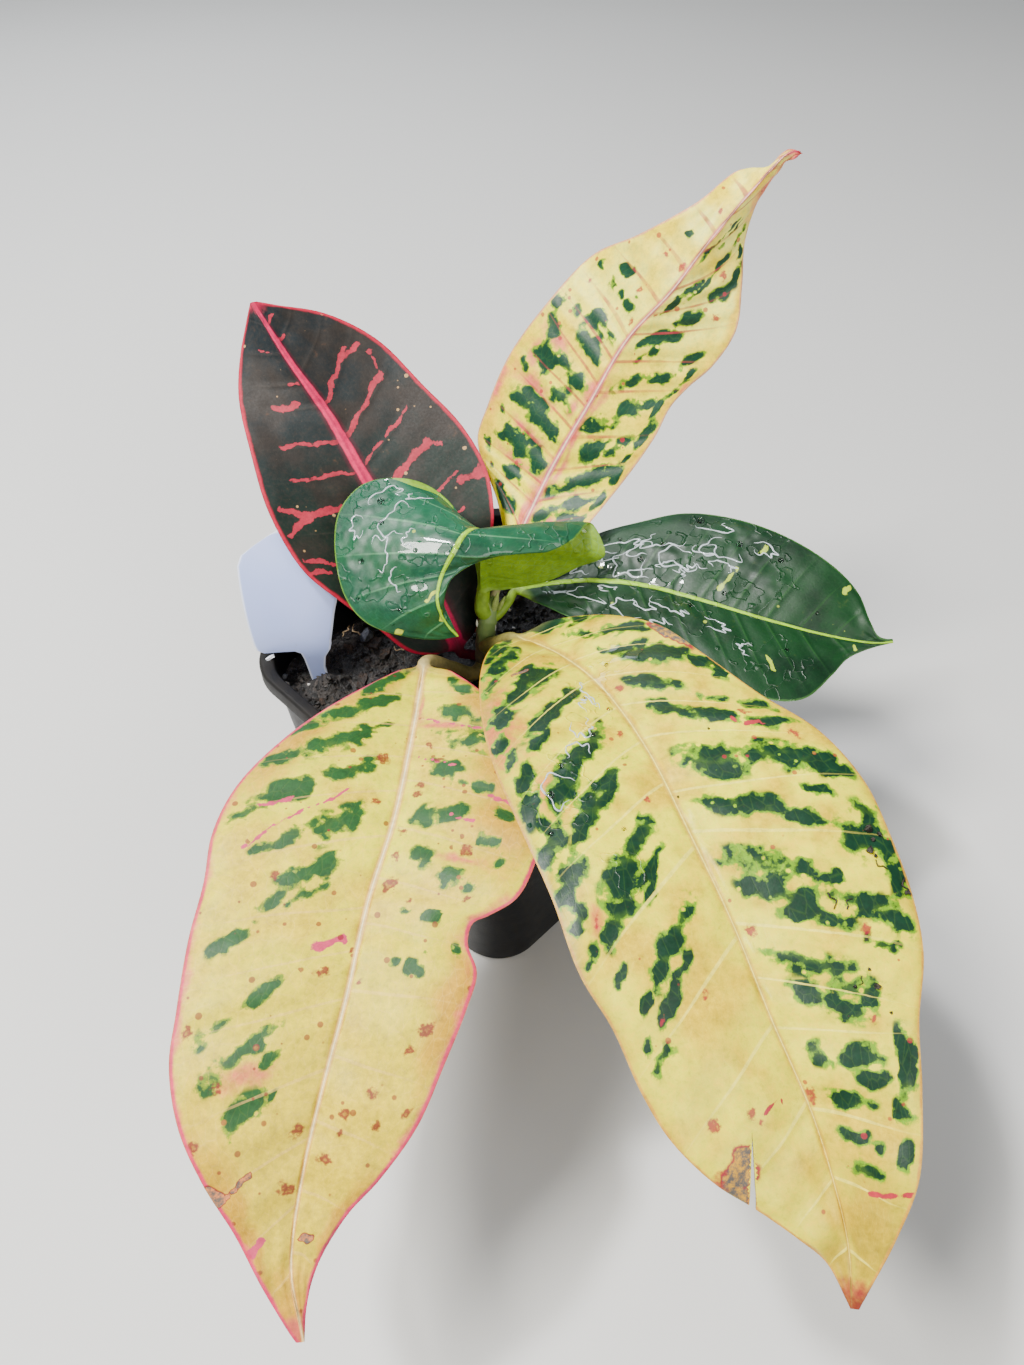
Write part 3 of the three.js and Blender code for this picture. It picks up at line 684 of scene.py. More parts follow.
class Blade:
    """The upper face as a plane map in mm: along the midrib, and across from it (left is plus)."""

    def __init__(self, leaf, v, q, width, length, seed):
        self.width = width
        self.length = length
        self.way = np.zeros_like(v)  # counts the side veins: a whole number lies on a vein
        for sign, side in SIDES:
            starts, ends = np.array(leaf["veins"][side]).T
            for j in range(v.shape[1]):
                if np.sign(q[0, j] + 1e-9) == sign:
                    share = abs(q[0, j])
                    knots = starts + (ends - starts) * (0.75 * share + 0.25 * share**2)
                    self.way[:, j] = np.interp(v[:, j], knots, np.arange(len(starts)))
        # marks wander a little, so that none is ruled
        place = np.stack([v * length, q * width, np.full_like(v, seed)], -1)
        ahead = 0.9 * noise_at(place, 0.22) + 0.5 * noise_at(place, 0.6)
        aside = 1.2 * noise_at(place, 0.2, 8.0) + 0.5 * noise_at(place, 0.7, 5.0)
        self.v = v + ahead / length
        self.q = q + aside / np.maximum(width, 3)
        self.swell = 1 + 0.6 * noise_at(place, 0.3, 3.0)

    def off(self, v, q):
        """Distance in mm from one place of the blade."""
        return np.hypot((self.v - v) * self.length, (self.q - q) * self.width)

    def spots(self, places):
        """Round marks: (along, across, radius in mm)."""
        marks = [bell(self.off(v, q) / (0.62 * radius * self.swell)) for v, q, radius in places]
        return self.strongest(marks)

    def patches(self, places):
        """Soft areas: (along, across, half length, half width), all as shares."""
        marks = [bell((self.v - v) / tall) * bell((self.q - q) / wide) for v, q, tall, wide in places]
        return self.strongest(marks)

    def lines(self, places):
        """Thin marks: (along, across) of both ends and the half width in mm."""
        marks = []
        for v0, q0, v1, q1, half in places:
            share = np.clip((self.q - q0) / (q1 - q0), 0, 1)
            off = self.off(v0 + (v1 - v0) * share, q0 + (q1 - q0) * share)
            marks.append(bell(off / (half * self.swell)))
        return self.strongest(marks)

    def bars(self, left, right, slopes):
        """Marks that lie between side veins: (along, nearest across, furthest across, half height)."""
        marks = []
        for sign, places, slope in ((1, left, slopes[0]), (-1, right, slopes[1])):
            a = self.q * sign
            for v, near, far, tall, *own in places:
                off_middle = a - (near + far) / 2
                lean = own[0] if own else slope
                height = bell((self.v - v - lean * off_middle) / tall)
                marks.append(height * bell((off_middle / ((far - near) / 2)) ** 2) * (a > 0))
        return self.strongest(marks)

    def strongest(self, marks):
        return np.max([np.zeros_like(self.v), *marks], axis=0)


def blade_lift(leaf, looks, blade, V, Q, face, off_rib, rib_half):
    """How far the skin lies from the blade's middle surface, and the side veins' numbers."""
    a = np.abs(Q)
    seed = looks["seed"]
    way = blade.way + 0.08 * noise_at(np.stack([V * 9, a * 1.5, np.sign(Q) * 3], -1), 1.0, seed)
    off_vein = 0.5 - np.abs(way % 1 - 0.5)
    spacing = blade.length / len(leaf["veins"]["left"])
    fade = ease(V / 0.06) * ease((1 - V) / 0.06) * ease(a / 0.05) * ease((1 - a) / 0.12)
    ridge = bell(off_vein * spacing / 0.55) * (1 - 0.6 * a)
    panel = np.sin(math.pi * off_vein) ** 2
    sway = 0.3 * noise_at(np.stack([V * 14, Q * 4, 0 * V], -1), 1.0, seed + 5)
    thin = BLADE_HALF * (1 - 0.4 * a**4)
    top = thin + 0.32 * rib_half * bell(off_rib / 0.75)
    bottom = -thin - 0.85 * rib_half * bell(off_rib / 0.8)
    rise = (looks["ridge"] * ridge + looks["panel"] * panel + sway) * fade
    return np.where(face > 0, top, bottom) * np.abs(face) + rise, way


def make_leaf(name, leaf, looks):
    even = np.linspace(0, 1, BLADE_ROWS)
    v = TIP * (0.45 * even + 0.55 * (1 - np.cos(math.pi * even)) / 2)  # rows are closer at both ends
    shares = across_shares(UPPER_HALF)
    under_shares = -across_shares(LOWER_HALF)
    q = np.concatenate([[1.0], shares, [-1.0], under_shares, [1.0]])
    upper = np.concatenate([[0.5], np.ones_like(shares), [0.5], np.zeros_like(under_shares), [0.5]])
    V, Q = np.meshgrid(v, q, indexing="ij")
    a = np.abs(Q)
    face = np.broadcast_to(2 * upper - 1, V.shape)

    rib = smooth_line(leaf["rib"], v)
    ahead = smooth_line(leaf["rib"], np.minimum(v + SLOPE_STEP, 1))
    along = unit(ahead - smooth_line(leaf["rib"], v - SLOPE_STEP))
    reaches = {sign: smooth_line(leaf[side], v ** leaf["lead"]) - rib for sign, side in SIDES}
    ups = {sign: sign * unit(np.cross(along, reach)) for sign, reach in reaches.items()}
    crown = unit(ups[1] + ups[-1])
    on_left = (Q >= 0)[..., None]
    reach = np.where(on_left, reaches[1][:, None], reaches[-1][:, None])
    up = np.where(on_left, ups[1][:, None], ups[-1][:, None])
    width = np.linalg.norm(reach, axis=-1)
    share = np.minimum(3 * a, 1)[..., None]  # of the half's own facing, which takes over off the midrib
    facing = unit(crown[:, None] * (1 - share) + up * share)

    length = np.linalg.norm(np.diff(rib, axis=0), axis=1).sum()
    blade = Blade(leaf, V, Q, width, length, looks["seed"])
    rib_half = np.maximum(looks["rib_half"] * (1 - 0.75 * V), 0.25)
    off_rib = a * width / rib_half
    lift, way = blade_lift(leaf, looks, blade, V, Q, face, off_rib, rib_half)
    arch = 4 * leaf["belly"] * width * a * (1 - a)
    places = rib[:, None] + reach * a[..., None] + up * arch[..., None] + facing * lift[..., None]

    # the stalk's round rows, and their blend into the blade's first rows
    stalk_line = [*leaf["stalk"], *leaf["rib"][:2]]
    stalk_v = np.linspace(0, 1, STALK_ROWS, endpoint=False)
    run = stalk_v * stalk_share(stalk_line)
    stalk = smooth_line(stalk_line, run)
    stalk_way = unit(smooth_line(stalk_line, run + 0.01) - stalk)
    leftward = smooth_line(leaf["left"], [0.06]) - smooth_line(leaf["right"], [0.06])
    spans = [[0], middles(len(shares)), [1], 1 + middles(len(under_shares)), [2]]
    angle = math.pi * np.concatenate(spans)

    def round_rows(centre, forward, radius):
        side = unit(leftward - forward * (forward * leftward).sum(-1, keepdims=True))
        return rings(centre, side, np.cross(forward, side), radius[:, None], angle)

    base_radius, end_radius = leaf["stalk_radius"]
    stalk_rows = round_rows(stalk, stalk_way, base_radius + (end_radius - base_radius) * ease(stalk_v))
    joined = ease(v / 0.035)[:, None, None]
    places = round_rows(rib, along, np.full(len(v), end_radius)) * (1 - joined) + places * joined

    leaf_v = np.concatenate([np.zeros(STALK_ROWS), v])[:, None] * np.ones_like(q)
    on_stalk = 1 - ease((leaf_v - 0.004) / 0.03)

    def with_stalk(values, mode="constant"):
        return np.pad(values, ((STALK_ROWS, 0), (0, 0)), mode=mode)

    marks = {
        "blotch": blade.bars(looks.get("left_bars", []), looks.get("right_bars", []), looks["lean"]),
        "streak": blade.lines(looks.get("streaks", [])),
        "spot": blade.spots(looks.get("spots", [])),
        "scar": np.maximum(blade.patches(looks.get("scar", [])), blade.lines(looks.get("cuts", []))),
        **{key: blade.patches(looks.get(key, [])) for key in ("tint", "deep_and_shade", "wet")},
    }
    fields = {
        "way": with_stalk(way, "edge"),
        "across": with_stalk(Q, "edge"),
        "along": leaf_v,
        "rib": with_stalk(off_rib) * (1 - on_stalk),
        "rim": with_stalk((1 - a) * width) + 9 * on_stalk,
        "under": with_stalk(np.broadcast_to(1 - upper, V.shape)) * (1 - on_stalk),
        **{key: with_stalk(values) for key, values in marks.items()},
    }
    piece = sheet_of(np.concatenate([stalk_rows, places]), fields)
    if "tear" in leaf:
        cut_tear(piece, **leaf["tear"])
    return hand_over(piece, name, leaf_material(name, **looks["finish"]), 60, [name])


def stalk_share(line):
    """The share of the stalk line's length at which its last knot but one stands."""
    count = 400
    points = smooth_line(line, np.linspace(0, 1, count))
    return np.argmin(np.linalg.norm(points - np.array(line[-2]), axis=1)) / (count - 1)


def cut_tear(piece, apex, mouth, width):
    """Cuts an upright wedge out of a leaf, from its apex to the leaf's edge."""
    wedge = start(bpy.ops.mesh.primitive_cone_add, vertices=3, radius1=1, radius2=1, depth=POT_HEIGHT * MM)
    corners = [apex, (mouth[0] - width / 2, mouth[1]), (mouth[0] + width / 2, mouth[1])]
    low, high = 0.5 * POT_HEIGHT, 1.5 * POT_HEIGHT
    vertices = list(wedge.data.vertices)
    order = sorted(vertices, key=lambda vertex: (vertex.co.z, math.atan2(vertex.co.y, vertex.co.x)))
    for k, vertex in enumerate(order):
        vertex.co = Vector((*corners[k % 3], low if k < 3 else high)) * MM
    edit(wedge)
    leave_edit()
    carve(piece, wedge)


# The marks on each leaf, as shares of the blade: along from stalk to tip, and across from the
# midrib to an edge. Bars lie between side veins: (along, nearest, furthest, half height), and
# where one leans otherwise than the rest, by how much it runs on. Colours are screen colours.
# Deep patches are partly the leaf's own deeper colour and partly painted shade, such as where another leaf
# shadows a blade and towards a tip.
LEAF_LOOKS = {
    "leaf_upper_left": dict(
        slot="leaf_red_green", seed=1.0, ridge=0.15, panel=0.2, rib_half=2.75, lean=(0, 0),
        streaks=[
            (0.445, 0.25, 0.44, 0.72, 1.3), (0.44, 0.72, 0.415, 0.92, 0.9), (0.445, 0.7, 0.475, 0.88, 0.8),
            (0.52, 0.08, 0.535, 0.7, 0.45), (0.605, 0.05, 0.62, 0.68, 0.7), (0.72, 0.28, 0.715, 0.55, 0.9),
            (0.77, 0.1, 0.77, 0.22, 0.6), (0.36, 0.92, 0.33, 0.7, 0.7), (0.33, 0.95, 0.315, 0.8, 0.6),
            (0.455, -0.2, 0.475, -0.66, 1.1), (0.475, -0.65, 0.455, -0.75, 0.6),
            (0.525, -0.06, 0.57, -0.75, 0.5), (0.61, -0.05, 0.66, -0.7, 0.75),
            (0.66, -0.6, 0.66, -0.71, 1.2), (0.7, -0.05, 0.765, -0.66, 0.8),
            (0.745, -0.45, 0.75, -0.82, 0.7), (0.365, -0.3, 0.385, -0.76, 0.6),
            (0.36, -0.74, 0.355, -1, 1.3), (0.68, -0.75, 0.72, -0.81, 0.9),
            (0.885, -0.06, 0.885, -0.22, 0.5), (0.93, -0.06, 0.94, -0.4, 0.5), (0.27, 0.1, 0.29, 0.8, 0.5),
            (0.29, -0.1, 0.31, -0.7, 0.5), (0.86, 0.3, 0.87, 0.55, 0.3),
        ],
        finish=dict(
            Tip_share=0.6, Tip=(190, 20, 70), Flank=(90, 8, 36), Stalk=(84, 8, 30), sheen=0.25,
            Ground=(18, 34, 26), Far_ground=(20, 28, 32), Mottle=(38, 32, 28), Tint=(120, 40, 50),
            Vein=(70, 62, 56), Midrib=(206, 30, 84), Midrib_core=(180, 20, 74), Margin=(176, 18, 52),
            Speck=(190, 150, 100), Streak=(160, 40, 58), Underside=(84, 44, 46), Vein_width=0.05,
            Vein_strength=0.15, Margin_width=1.2, Speck_share=0.1, Net_strength=0.04, Dry_roughness=0.62,
        ),
    ),
    "leaf_upper_right": dict(
        slot="leaf_yellow_upper", seed=2.0, ridge=0.25, panel=0.5, rib_half=1.1, lean=(0, 0.12),
        left_bars=[
            (0.12, 0.3, 0.75, 0.02), (0.185, 0.2, 0.56, 0.011), (0.165, 0.7, 0.82, 0.006),
            (0.2, 0.8, 0.88, 0.008), (0.237, 0.14, 0.72, 0.021), (0.27, 0.78, 0.86, 0.006),
            (0.302, 0.12, 0.74, 0.014), (0.322, 0.36, 0.72, 0.009), (0.355, 0.74, 0.86, 0.01),
            (0.366, 0.12, 0.56, 0.013), (0.393, 0.5, 0.8, 0.018), (0.408, 0.12, 0.6, 0.012),
            (0.44, 0.72, 0.88, 0.016), (0.472, 0.1, 0.5, 0.013), (0.47, 0.86, 0.95, 0.01),
            (0.5, 0.22, 0.56, 0.008), (0.495, 0.62, 0.76, 0.01), (0.517, 0.1, 0.6, 0.008),
            (0.572, 0.18, 0.36, 0.009), (0.572, 0.4, 0.5, 0.007), (0.574, 0.54, 0.65, 0.007),
            (0.572, 0.75, 0.85, 0.007), (0.606, 0.54, 0.7, 0.011), (0.596, 0.26, 0.33, 0.006),
            (0.745, 0.38, 0.5, 0.005),
        ],
        right_bars=[
            (0.13, 0.2, 0.7, 0.01), (0.172, 0.17, 0.75, 0.018), (0.16, 0.68, 0.9, 0.011),
            (0.2, 0.8, 0.92, 0.03), (0.24, 0.17, 0.76, 0.02), (0.25, 0.8, 0.92, 0.028),
            (0.29, 0.17, 0.52, 0.022), (0.315, 0.3, 0.5, 0.01), (0.327, 0.55, 0.76, 0.014),
            (0.315, 0.8, 0.88, 0.01), (0.357, 0.18, 0.46, 0.011), (0.39, 0.16, 0.72, 0.018),
            (0.417, 0.5, 0.8, 0.014), (0.37, 0.8, 0.92, 0.03), (0.43, 0.82, 0.9, 0.032),
            (0.455, 0.18, 0.56, 0.013), (0.48, 0.5, 0.76, 0.014), (0.49, 0.84, 0.91, 0.02),
            (0.51, 0.2, 0.28, 0.01), (0.53, 0.29, 0.38, 0.01), (0.543, 0.14, 0.26, 0.01),
            (0.535, 0.68, 0.82, 0.014), (0.567, 0.24, 0.5, 0.016), (0.612, 0.34, 0.52, 0.016),
            (0.63, 0.08, 0.2, 0.014, 0.3), (0.67, 0.1, 0.3, 0.012), (0.7, 0.28, 0.56, 0.012, 0.3),
            (0.672, 0.52, 0.78, 0.014), (0.715, 0.78, 0.9, 0.016), (0.775, 0.08, 0.36, 0.012, 0.3),
            (0.79, 0.28, 0.5, 0.01, 0.3), (0.787, 0.55, 0.8, 0.012), (0.765, 0.76, 0.86, 0.01),
        ],
        tint=[
            (0.9, -0.8, 0.09, 0.5), (0.42, 0.05, 0.04, 0.1), (0.3, -0.1, 0.2, 0.06),
            (0.15, 0.08, 0.12, 0.1), (0.34, 0.6, 0.02, 0.3), (0.43, 0.7, 0.02, 0.2),
            (0.3, 0.98, 0.05, 0.08), (0.47, -0.95, 0.02, 0.06), (0.21, 0.45, 0.012, 0.35),
            (0.27, 0.4, 0.012, 0.35), (0.14, -0.35, 0.012, 0.3), (0.21, -0.3, 0.01, 0.25),
            (0.385, 0.75, 0.03, 0.12), (0.36, 0.1, 0.03, 0.06),
        ],
        spots=[
            (0.7, 0.12, 1.3), (0.81, 0.2, 1.3), (0.63, -0.68, 1.8), (0.54, 0.8, 1.2), (0.56, 0.08, 1.2),
            (0.69, 0.47, 1.1), (0.61, 0.33, 1.1), (0.6, -0.06, 1.1), (0.71, -0.62, 1.5),
        ],
        deep_and_shade=[
            (0.1, -0.8, 0.12, 0.4), (0.25, 0.95, 0.2, 0.12), (0.35, -0.97, 0.25, 0.1),
            (0.65, -0.97, 0.1, 0.1),
        ],
        finish=dict(
            Tip_start=0.93, Tip_share=0.85, Tip=(196, 24, 74), Ragged=0.95, Deep=(232, 190, 20),
            Vein_breaks=0.5, Flank=(184, 44, 66), Dry_roughness=0.45, sheen=0.3, Ground=(240, 226, 16),
            Far_ground=(248, 246, 120), Mottle=(240, 212, 24), Tint=(214, 50, 96), Blotch=(14, 58, 38),
            Halo=(116, 156, 8), Vein=(172, 40, 62), Midrib=(206, 112, 110), Midrib_core=(240, 206, 178),
            Margin=(222, 160, 110), Speck=(160, 24, 44), Streak=(200, 80, 80), Underside=(160, 146, 70),
            Speck_share=0.22, Vein_width=0.055, Vein_strength=0.7, Margin_width=0.6,
        ),
    ),
    "leaf_centre": dict(
        slot="leaf_green_centre", seed=3.0, ridge=0.2, panel=0.18, rib_half=1.3, lean=(0, 0),
        wet=[(0.55, -0.5, 0.22, 0.6), (0.5, 0.45, 0.16, 0.5), (0.2, -0.4, 0.12, 0.4)],
        streaks=[
            (0.77, -0.06, 0.79, -0.16, 0.5), (0.87, -0.03, 0.9, -0.1, 0.6), (0.86, -0.84, 0.87, -0.98, 0.7),
            (0.2, -0.5, 0.22, -0.62, 0.4),
        ],
        # Its bluish Ground is partly the leaf's own green and partly a painted reflection of pale light on
        # its wet face.
        finish=dict(
            Stalk=(120, 150, 40), Flank=(2, 34, 10), Ripple=6.0, sheen=0.35, Ground=(22, 88, 62),
            Far_ground=(10, 72, 36), Mottle=(10, 66, 44), Tint=(90, 120, 40), Vein=(96, 156, 110),
            Midrib=(132, 178, 16), Midrib_core=(156, 194, 30), Margin=(60, 104, 40), Speck=(170, 180, 60),
            Streak=(176, 186, 50), Underside=(120, 156, 24), Speck_share=0.02, Vein_strength=0.4,
            Vein_width=0.04, Margin_width=0.5, Net_strength=0.05, Dry_roughness=0.48,
        ),
    ),
    "leaf_right": dict(
        slot="leaf_green_right", seed=4.0, ridge=0.2, panel=0.14, rib_half=1.0, lean=(0, 0),
        wet=[
            (0.32, 0.35, 0.12, 0.4), (0.45, -0.25, 0.1, 0.25), (0.6, 0.5, 0.1, 0.4), (0.16, -0.4, 0.1, 0.4),
            (0.5, 0.8, 0.1, 0.3), (0.65, -0.6, 0.08, 0.3),
        ],
        streaks=[
            (0.545, 0.18, 0.55, 0.46, 0.7), (0.81, 0.8, 0.81, 0.9, 0.7), (0.585, 0.72, 0.59, 0.78, 0.6),
            (0.9, -0.3, 0.9, -0.6, 0.4), (0.64, -0.5, 0.645, -0.66, 0.4),
        ],
        finish=dict(
            Stalk=(120, 150, 40), Flank=(2, 34, 10), Ripple=5.0, sheen=0.35, Ground=(4, 48, 20),
            Far_ground=(6, 52, 18), Mottle=(2, 36, 14), Tint=(90, 120, 40), Vein=(48, 96, 40),
            Midrib=(132, 178, 16), Midrib_core=(156, 194, 30), Margin=(44, 84, 34), Speck=(160, 176, 60),
            Streak=(160, 182, 44), Underside=(70, 112, 40), Speck_share=0.03, Vein_strength=0.22,
            Vein_width=0.04, Margin_width=0.5, Net_strength=0.05, Dry_roughness=0.48,
        ),
    ),
    "leaf_lower_left": dict(
        slot="leaf_tan_lower", seed=5.0, ridge=0.22, panel=0.6, rib_half=0.9, lean=(0.03, 0.1),
        left_bars=[
            (0.085, 0.62, 0.95, 0.02), (0.135, 0.3, 0.7, 0.02), (0.2, 0.34, 0.72, 0.019),
            (0.19, 0.2, 0.3, 0.006), (0.257, 0.2, 0.44, 0.013), (0.28, 0.34, 0.5, 0.006),
            (0.286, 0.5, 0.66, 0.01), (0.338, 0.14, 0.47, 0.012, -0.06), (0.323, 0.68, 0.8, 0.006),
            (0.364, 0.6, 0.73, 0.009), (0.39, 0.77, 0.84, 0.006), (0.406, 0.2, 0.36, 0.009),
            (0.427, 0.45, 0.61, 0.01), (0.434, 0.65, 0.72, 0.007), (0.487, 0.3, 0.42, 0.005),
            (0.49, 0.56, 0.7, 0.005), (0.54, 0.57, 0.64, 0.007), (0.53, 0.85, 0.93, 0.006),
            (0.562, 0.42, 0.56, 0.009), (0.552, 0.26, 0.36, 0.005),
        ],
        right_bars=[
            (0.065, 0.5, 0.96, 0.028), (0.138, 0.3, 0.95, 0.019), (0.183, 0.22, 0.4, 0.007),
            (0.195, 0.8, 0.98, 0.01), (0.217, 0.3, 0.78, 0.019), (0.255, 0.68, 0.95, 0.012),
            (0.276, 0.2, 0.57, 0.014), (0.312, 0.48, 0.8, 0.017), (0.345, 0.7, 0.92, 0.014),
            (0.365, 0.2, 0.42, 0.02), (0.373, 0.38, 0.62, 0.013), (0.396, 0.54, 0.76, 0.009),
            (0.436, 0.2, 0.57, 0.013), (0.465, 0.26, 0.46, 0.008), (0.466, 0.48, 0.62, 0.008),
            (0.52, 0.64, 0.86, 0.008), (0.566, 0.38, 0.47, 0.004), (0.587, 0.38, 0.6, 0.008),
            (0.625, 0.68, 0.86, 0.009), (0.645, 0.37, 0.62, 0.009), (0.661, 0.28, 0.43, 0.007),
            (0.669, 0.57, 0.82, 0.011), (0.703, 0.27, 0.4, 0.004), (0.722, 0.42, 0.7, 0.014),
        ],
        tint=[
            (0.78, 1.0, 0.3, 0.07), (0.62, -1.0, 0.42, 0.05), (0.48, 0.97, 0.06, 0.08), (0.985, 0, 0.02, 3),
            (0.17, 0.3, 0.012, 0.3), (0.68, -0.55, 0.02, 0.2), (0.13, 0.07, 0.05, 0.05),
            (0.4, 0.5, 0.008, 0.2),
        ],
        streaks=[
            (0.15, 0.1, 0.185, 0.7, 0.3), (0.31, -0.3, 0.4, -0.82, 0.35), (0.875, -0.7, 0.885, -1, 0.9),
            (0.33, -0.62, 0.34, -0.8, 0.6), (0.24, 0.1, 0.26, 0.5, 0.2), (0.53, -0.1, 0.535, -0.24, 1.0),
            (0.3, 0.6, 0.31, 0.8, 0.5), (0.34, 0.4, 0.345, 0.55, 0.4),
        ],
        cuts=[(0.79, -0.55, 0.815, -1, 0.5), (0.88, 0.28, 0.885, 0.42, 1.0)],
        scar=[(0.8, -0.95, 0.012, 0.08)],
        spots=[
            (0.245, -0.16, 2.2), (0.325, -0.13, 1.4), (0.372, 0.1, 1.8), (0.385, 0.55, 1.8),
            (0.41, 0.09, 1.5), (0.45, 0.13, 2.0), (0.465, 0.12, 1.4), (0.47, 0.33, 1.1),
            (0.567, -0.17, 2.0), (0.545, -0.05, 1.1), (0.625, 0.73, 2.0), (0.65, 0.66, 1.5),
            (0.708, 0.48, 2.2), (0.735, 0.28, 1.6), (0.74, 0.65, 1.9), (0.755, 0.28, 1.0),
            (0.79, 0.25, 2.0), (0.755, -0.13, 2.2), (0.825, -0.16, 2.6), (0.72, 0.83, 1.5),
            (0.45, 0.73, 1.7), (0.21, 0.2, 1.6), (0.245, 0.28, 1.4), (0.29, 0.14, 1.8), (0.31, 0.13, 1.4),
            (0.62, -0.92, 1.8), (0.685, -0.73, 1.5), (0.438, -0.6, 1.4), (0.585, 0.1, 1.5),
            (0.745, -0.93, 1.5),
        ],
        deep_and_shade=[
            (0.12, 0.9, 0.12, 0.4), (0.3, 0.8, 0.12, 0.35), (0.97, 0.0, 0.06, 2.0), (0.06, -0.8, 0.1, 0.4),
            (0.85, -0.9, 0.12, 0.25), (0.88, 0.9, 0.1, 0.25), (0.22, -0.9, 0.12, 0.2), (0.6, 0.9, 0.1, 0.2),
        ],
        finish=dict(
            Tip_share=0.3, Tip=(150, 60, 50), Net_strength=0.16, Ragged=0.9, Deep=(190, 140, 14),
            Stalk=(140, 124, 70), Flank=(196, 120, 70), Dry_roughness=0.5, sheen=0.3, Ground=(222, 216, 14),
            Far_ground=(210, 184, 24), Mottle=(212, 184, 16), Tint=(208, 76, 84), Blotch=(30, 74, 30),
            Halo=(116, 140, 6), Vein=(234, 192, 104), Midrib=(222, 182, 104), Midrib_core=(240, 220, 164),
            Margin=(206, 40, 86), Speck=(120, 16, 30), Scar=(104, 92, 82), Streak=(192, 60, 92),
            Underside=(150, 116, 56), Speck_share=0.34, Vein_strength=0.35, Vein_width=0.028,
            Margin_width=0.9,
        ),
    ),
    "leaf_lower_right": dict(
        slot="leaf_yellow_lower", seed=6.0, ridge=0.28, panel=0.65, rib_half=0.85, lean=(0.06, 0.08),
        left_bars=[
            (0.05, 0.35, 1.0, 0.03), (0.115, 0.32, 0.56, 0.014, 0.1), (0.143, 0.45, 0.96, 0.015, 0.05),
            (0.177, 0.3, 0.5, 0.01, 0.1), (0.208, 0.42, 0.86, 0.021), (0.253, 0.84, 1, 0.022),
            (0.262, 0.2, 0.52, 0.013, 0.1), (0.308, 0.2, 0.44, 0.013), (0.312, 0.58, 0.76, 0.006),
            (0.34, 0.34, 0.7, 0.01), (0.336, 0.78, 0.95, 0.009), (0.367, 0.66, 0.92, 0.01),
            (0.407, 0.13, 0.44, 0.019), (0.42, 0.4, 0.92, 0.016), (0.446, 0.82, 0.96, 0.009),
            (0.472, 0.13, 0.52, 0.011), (0.469, 0.64, 0.79, 0.006), (0.498, 0.46, 0.72, 0.007),
            (0.5, 0.85, 0.98, 0.011), (0.53, 0.72, 0.98, 0.017), (0.543, 0.1, 0.52, 0.013),
            (0.577, 0.12, 0.52, 0.012), (0.565, 0.56, 0.64, 0.006), (0.594, 0.5, 0.92, 0.01),
            (0.6, 0.24, 0.63, 0.007), (0.57, 0.9, 1, 0.02), (0.617, 0.84, 0.96, 0.008),
            (0.635, 0.68, 0.86, 0.006), (0.648, 0.12, 0.6, 0.011), (0.68, 0.18, 0.4, 0.01),
            (0.677, 0.44, 0.78, 0.011), (0.696, 0.36, 0.66, 0.008), (0.741, 0.38, 0.72, 0.008, 0),
            (0.741, 0.17, 0.32, 0.009, 0), (0.755, 0.83, 0.96, 0.03, 0), (0.762, 0.46, 0.74, 0.007, 0),
            (0.786, 0.2, 0.58, 0.008, 0), (0.79, 0.76, 0.93, 0.009, 0), (0.822, 0.23, 0.52, 0.006, 0),
            (0.83, 0.55, 0.66, 0.004, 0), (0.83, 0.8, 0.92, 0.01, 0), (0.851, 0.28, 0.62, 0.009, 0),
        ],
        right_bars=[
            (0.055, 0.52, 1, 0.034), (0.108, 0.48, 0.96, 0.021), (0.15, 0.38, 0.62, 0.011),
            (0.15, 0.78, 0.96, 0.013), (0.187, 0.24, 0.92, 0.017), (0.23, 0.78, 0.91, 0.018),
            (0.247, 0.2, 0.72, 0.012), (0.26, 0.84, 0.95, 0.012), (0.288, 0.84, 0.93, 0.01),
            (0.287, 0.58, 0.76, 0.008), (0.32, 0.2, 0.42, 0.016), (0.337, 0.38, 0.67, 0.018),
            (0.325, 0.77, 0.93, 0.011), (0.367, 0.56, 0.76, 0.018), (0.357, 0.79, 0.95, 0.016),
            (0.385, 0.2, 0.66, 0.011), (0.407, 0.34, 0.72, 0.01), (0.39, 0.82, 0.88, 0.016),
            (0.412, 0.78, 0.96, 0.012), (0.462, 0.2, 0.46, 0.013), (0.457, 0.73, 0.96, 0.018),
            (0.482, 0.34, 0.7, 0.015), (0.498, 0.2, 0.46, 0.006), (0.495, 0.82, 0.97, 0.01),
            (0.516, 0.34, 0.46, 0.006), (0.521, 0.48, 0.78, 0.013), (0.536, 0.84, 0.96, 0.006),
            (0.57, 0.2, 0.58, 0.011), (0.588, 0.48, 0.67, 0.01), (0.57, 0.76, 0.86, 0.005),
            (0.602, 0.37, 0.56, 0.005), (0.605, 0.7, 0.79, 0.005), (0.622, 0.5, 0.71, 0.009),
            (0.64, 0.82, 0.88, 0.006), (0.66, 0.7, 0.87, 0.007),
        ],
        tint=[
            (0.985, 0, 0.02, 3), (0.24, -0.85, 0.08, 0.2), (0.35, -0.7, 0.04, 0.15),
            (0.51, -0.78, 0.02, 0.05),
        ],
        streaks=[
            (0.865, 1, 0.878, 0.5, 0.55), (0.355, 0.6, 0.37, 0.75, 0.4), (0.77, -0.2, 0.765, -0.45, 0.3),
        ],
        cuts=[(0.15, -0.5, 0.15, -0.63, 0.7)],
        scar=[
            (0.19, 0.97, 0.035, 0.09), (0.8, -0.84, 0.02, 0.2), (0.785, -0.7, 0.016, 0.1),
            (0.82, -0.96, 0.02, 0.12),
        ],
        wet=[
            (0.235, -0.1, 0.03, 0.15), (0.29, -0.3, 0.02, 0.15), (0.36, -0.68, 0.035, 0.2),
            (0.2, 0.3, 0.03, 0.2), (0.48, -0.5, 0.03, 0.1),
        ],
        spots=[
            (0.25, 0.11, 1.9), (0.343, 0.73, 1.8), (0.39, 0.84, 1.6), (0.61, 0.09, 1.6), (0.62, 0.71, 1.8),
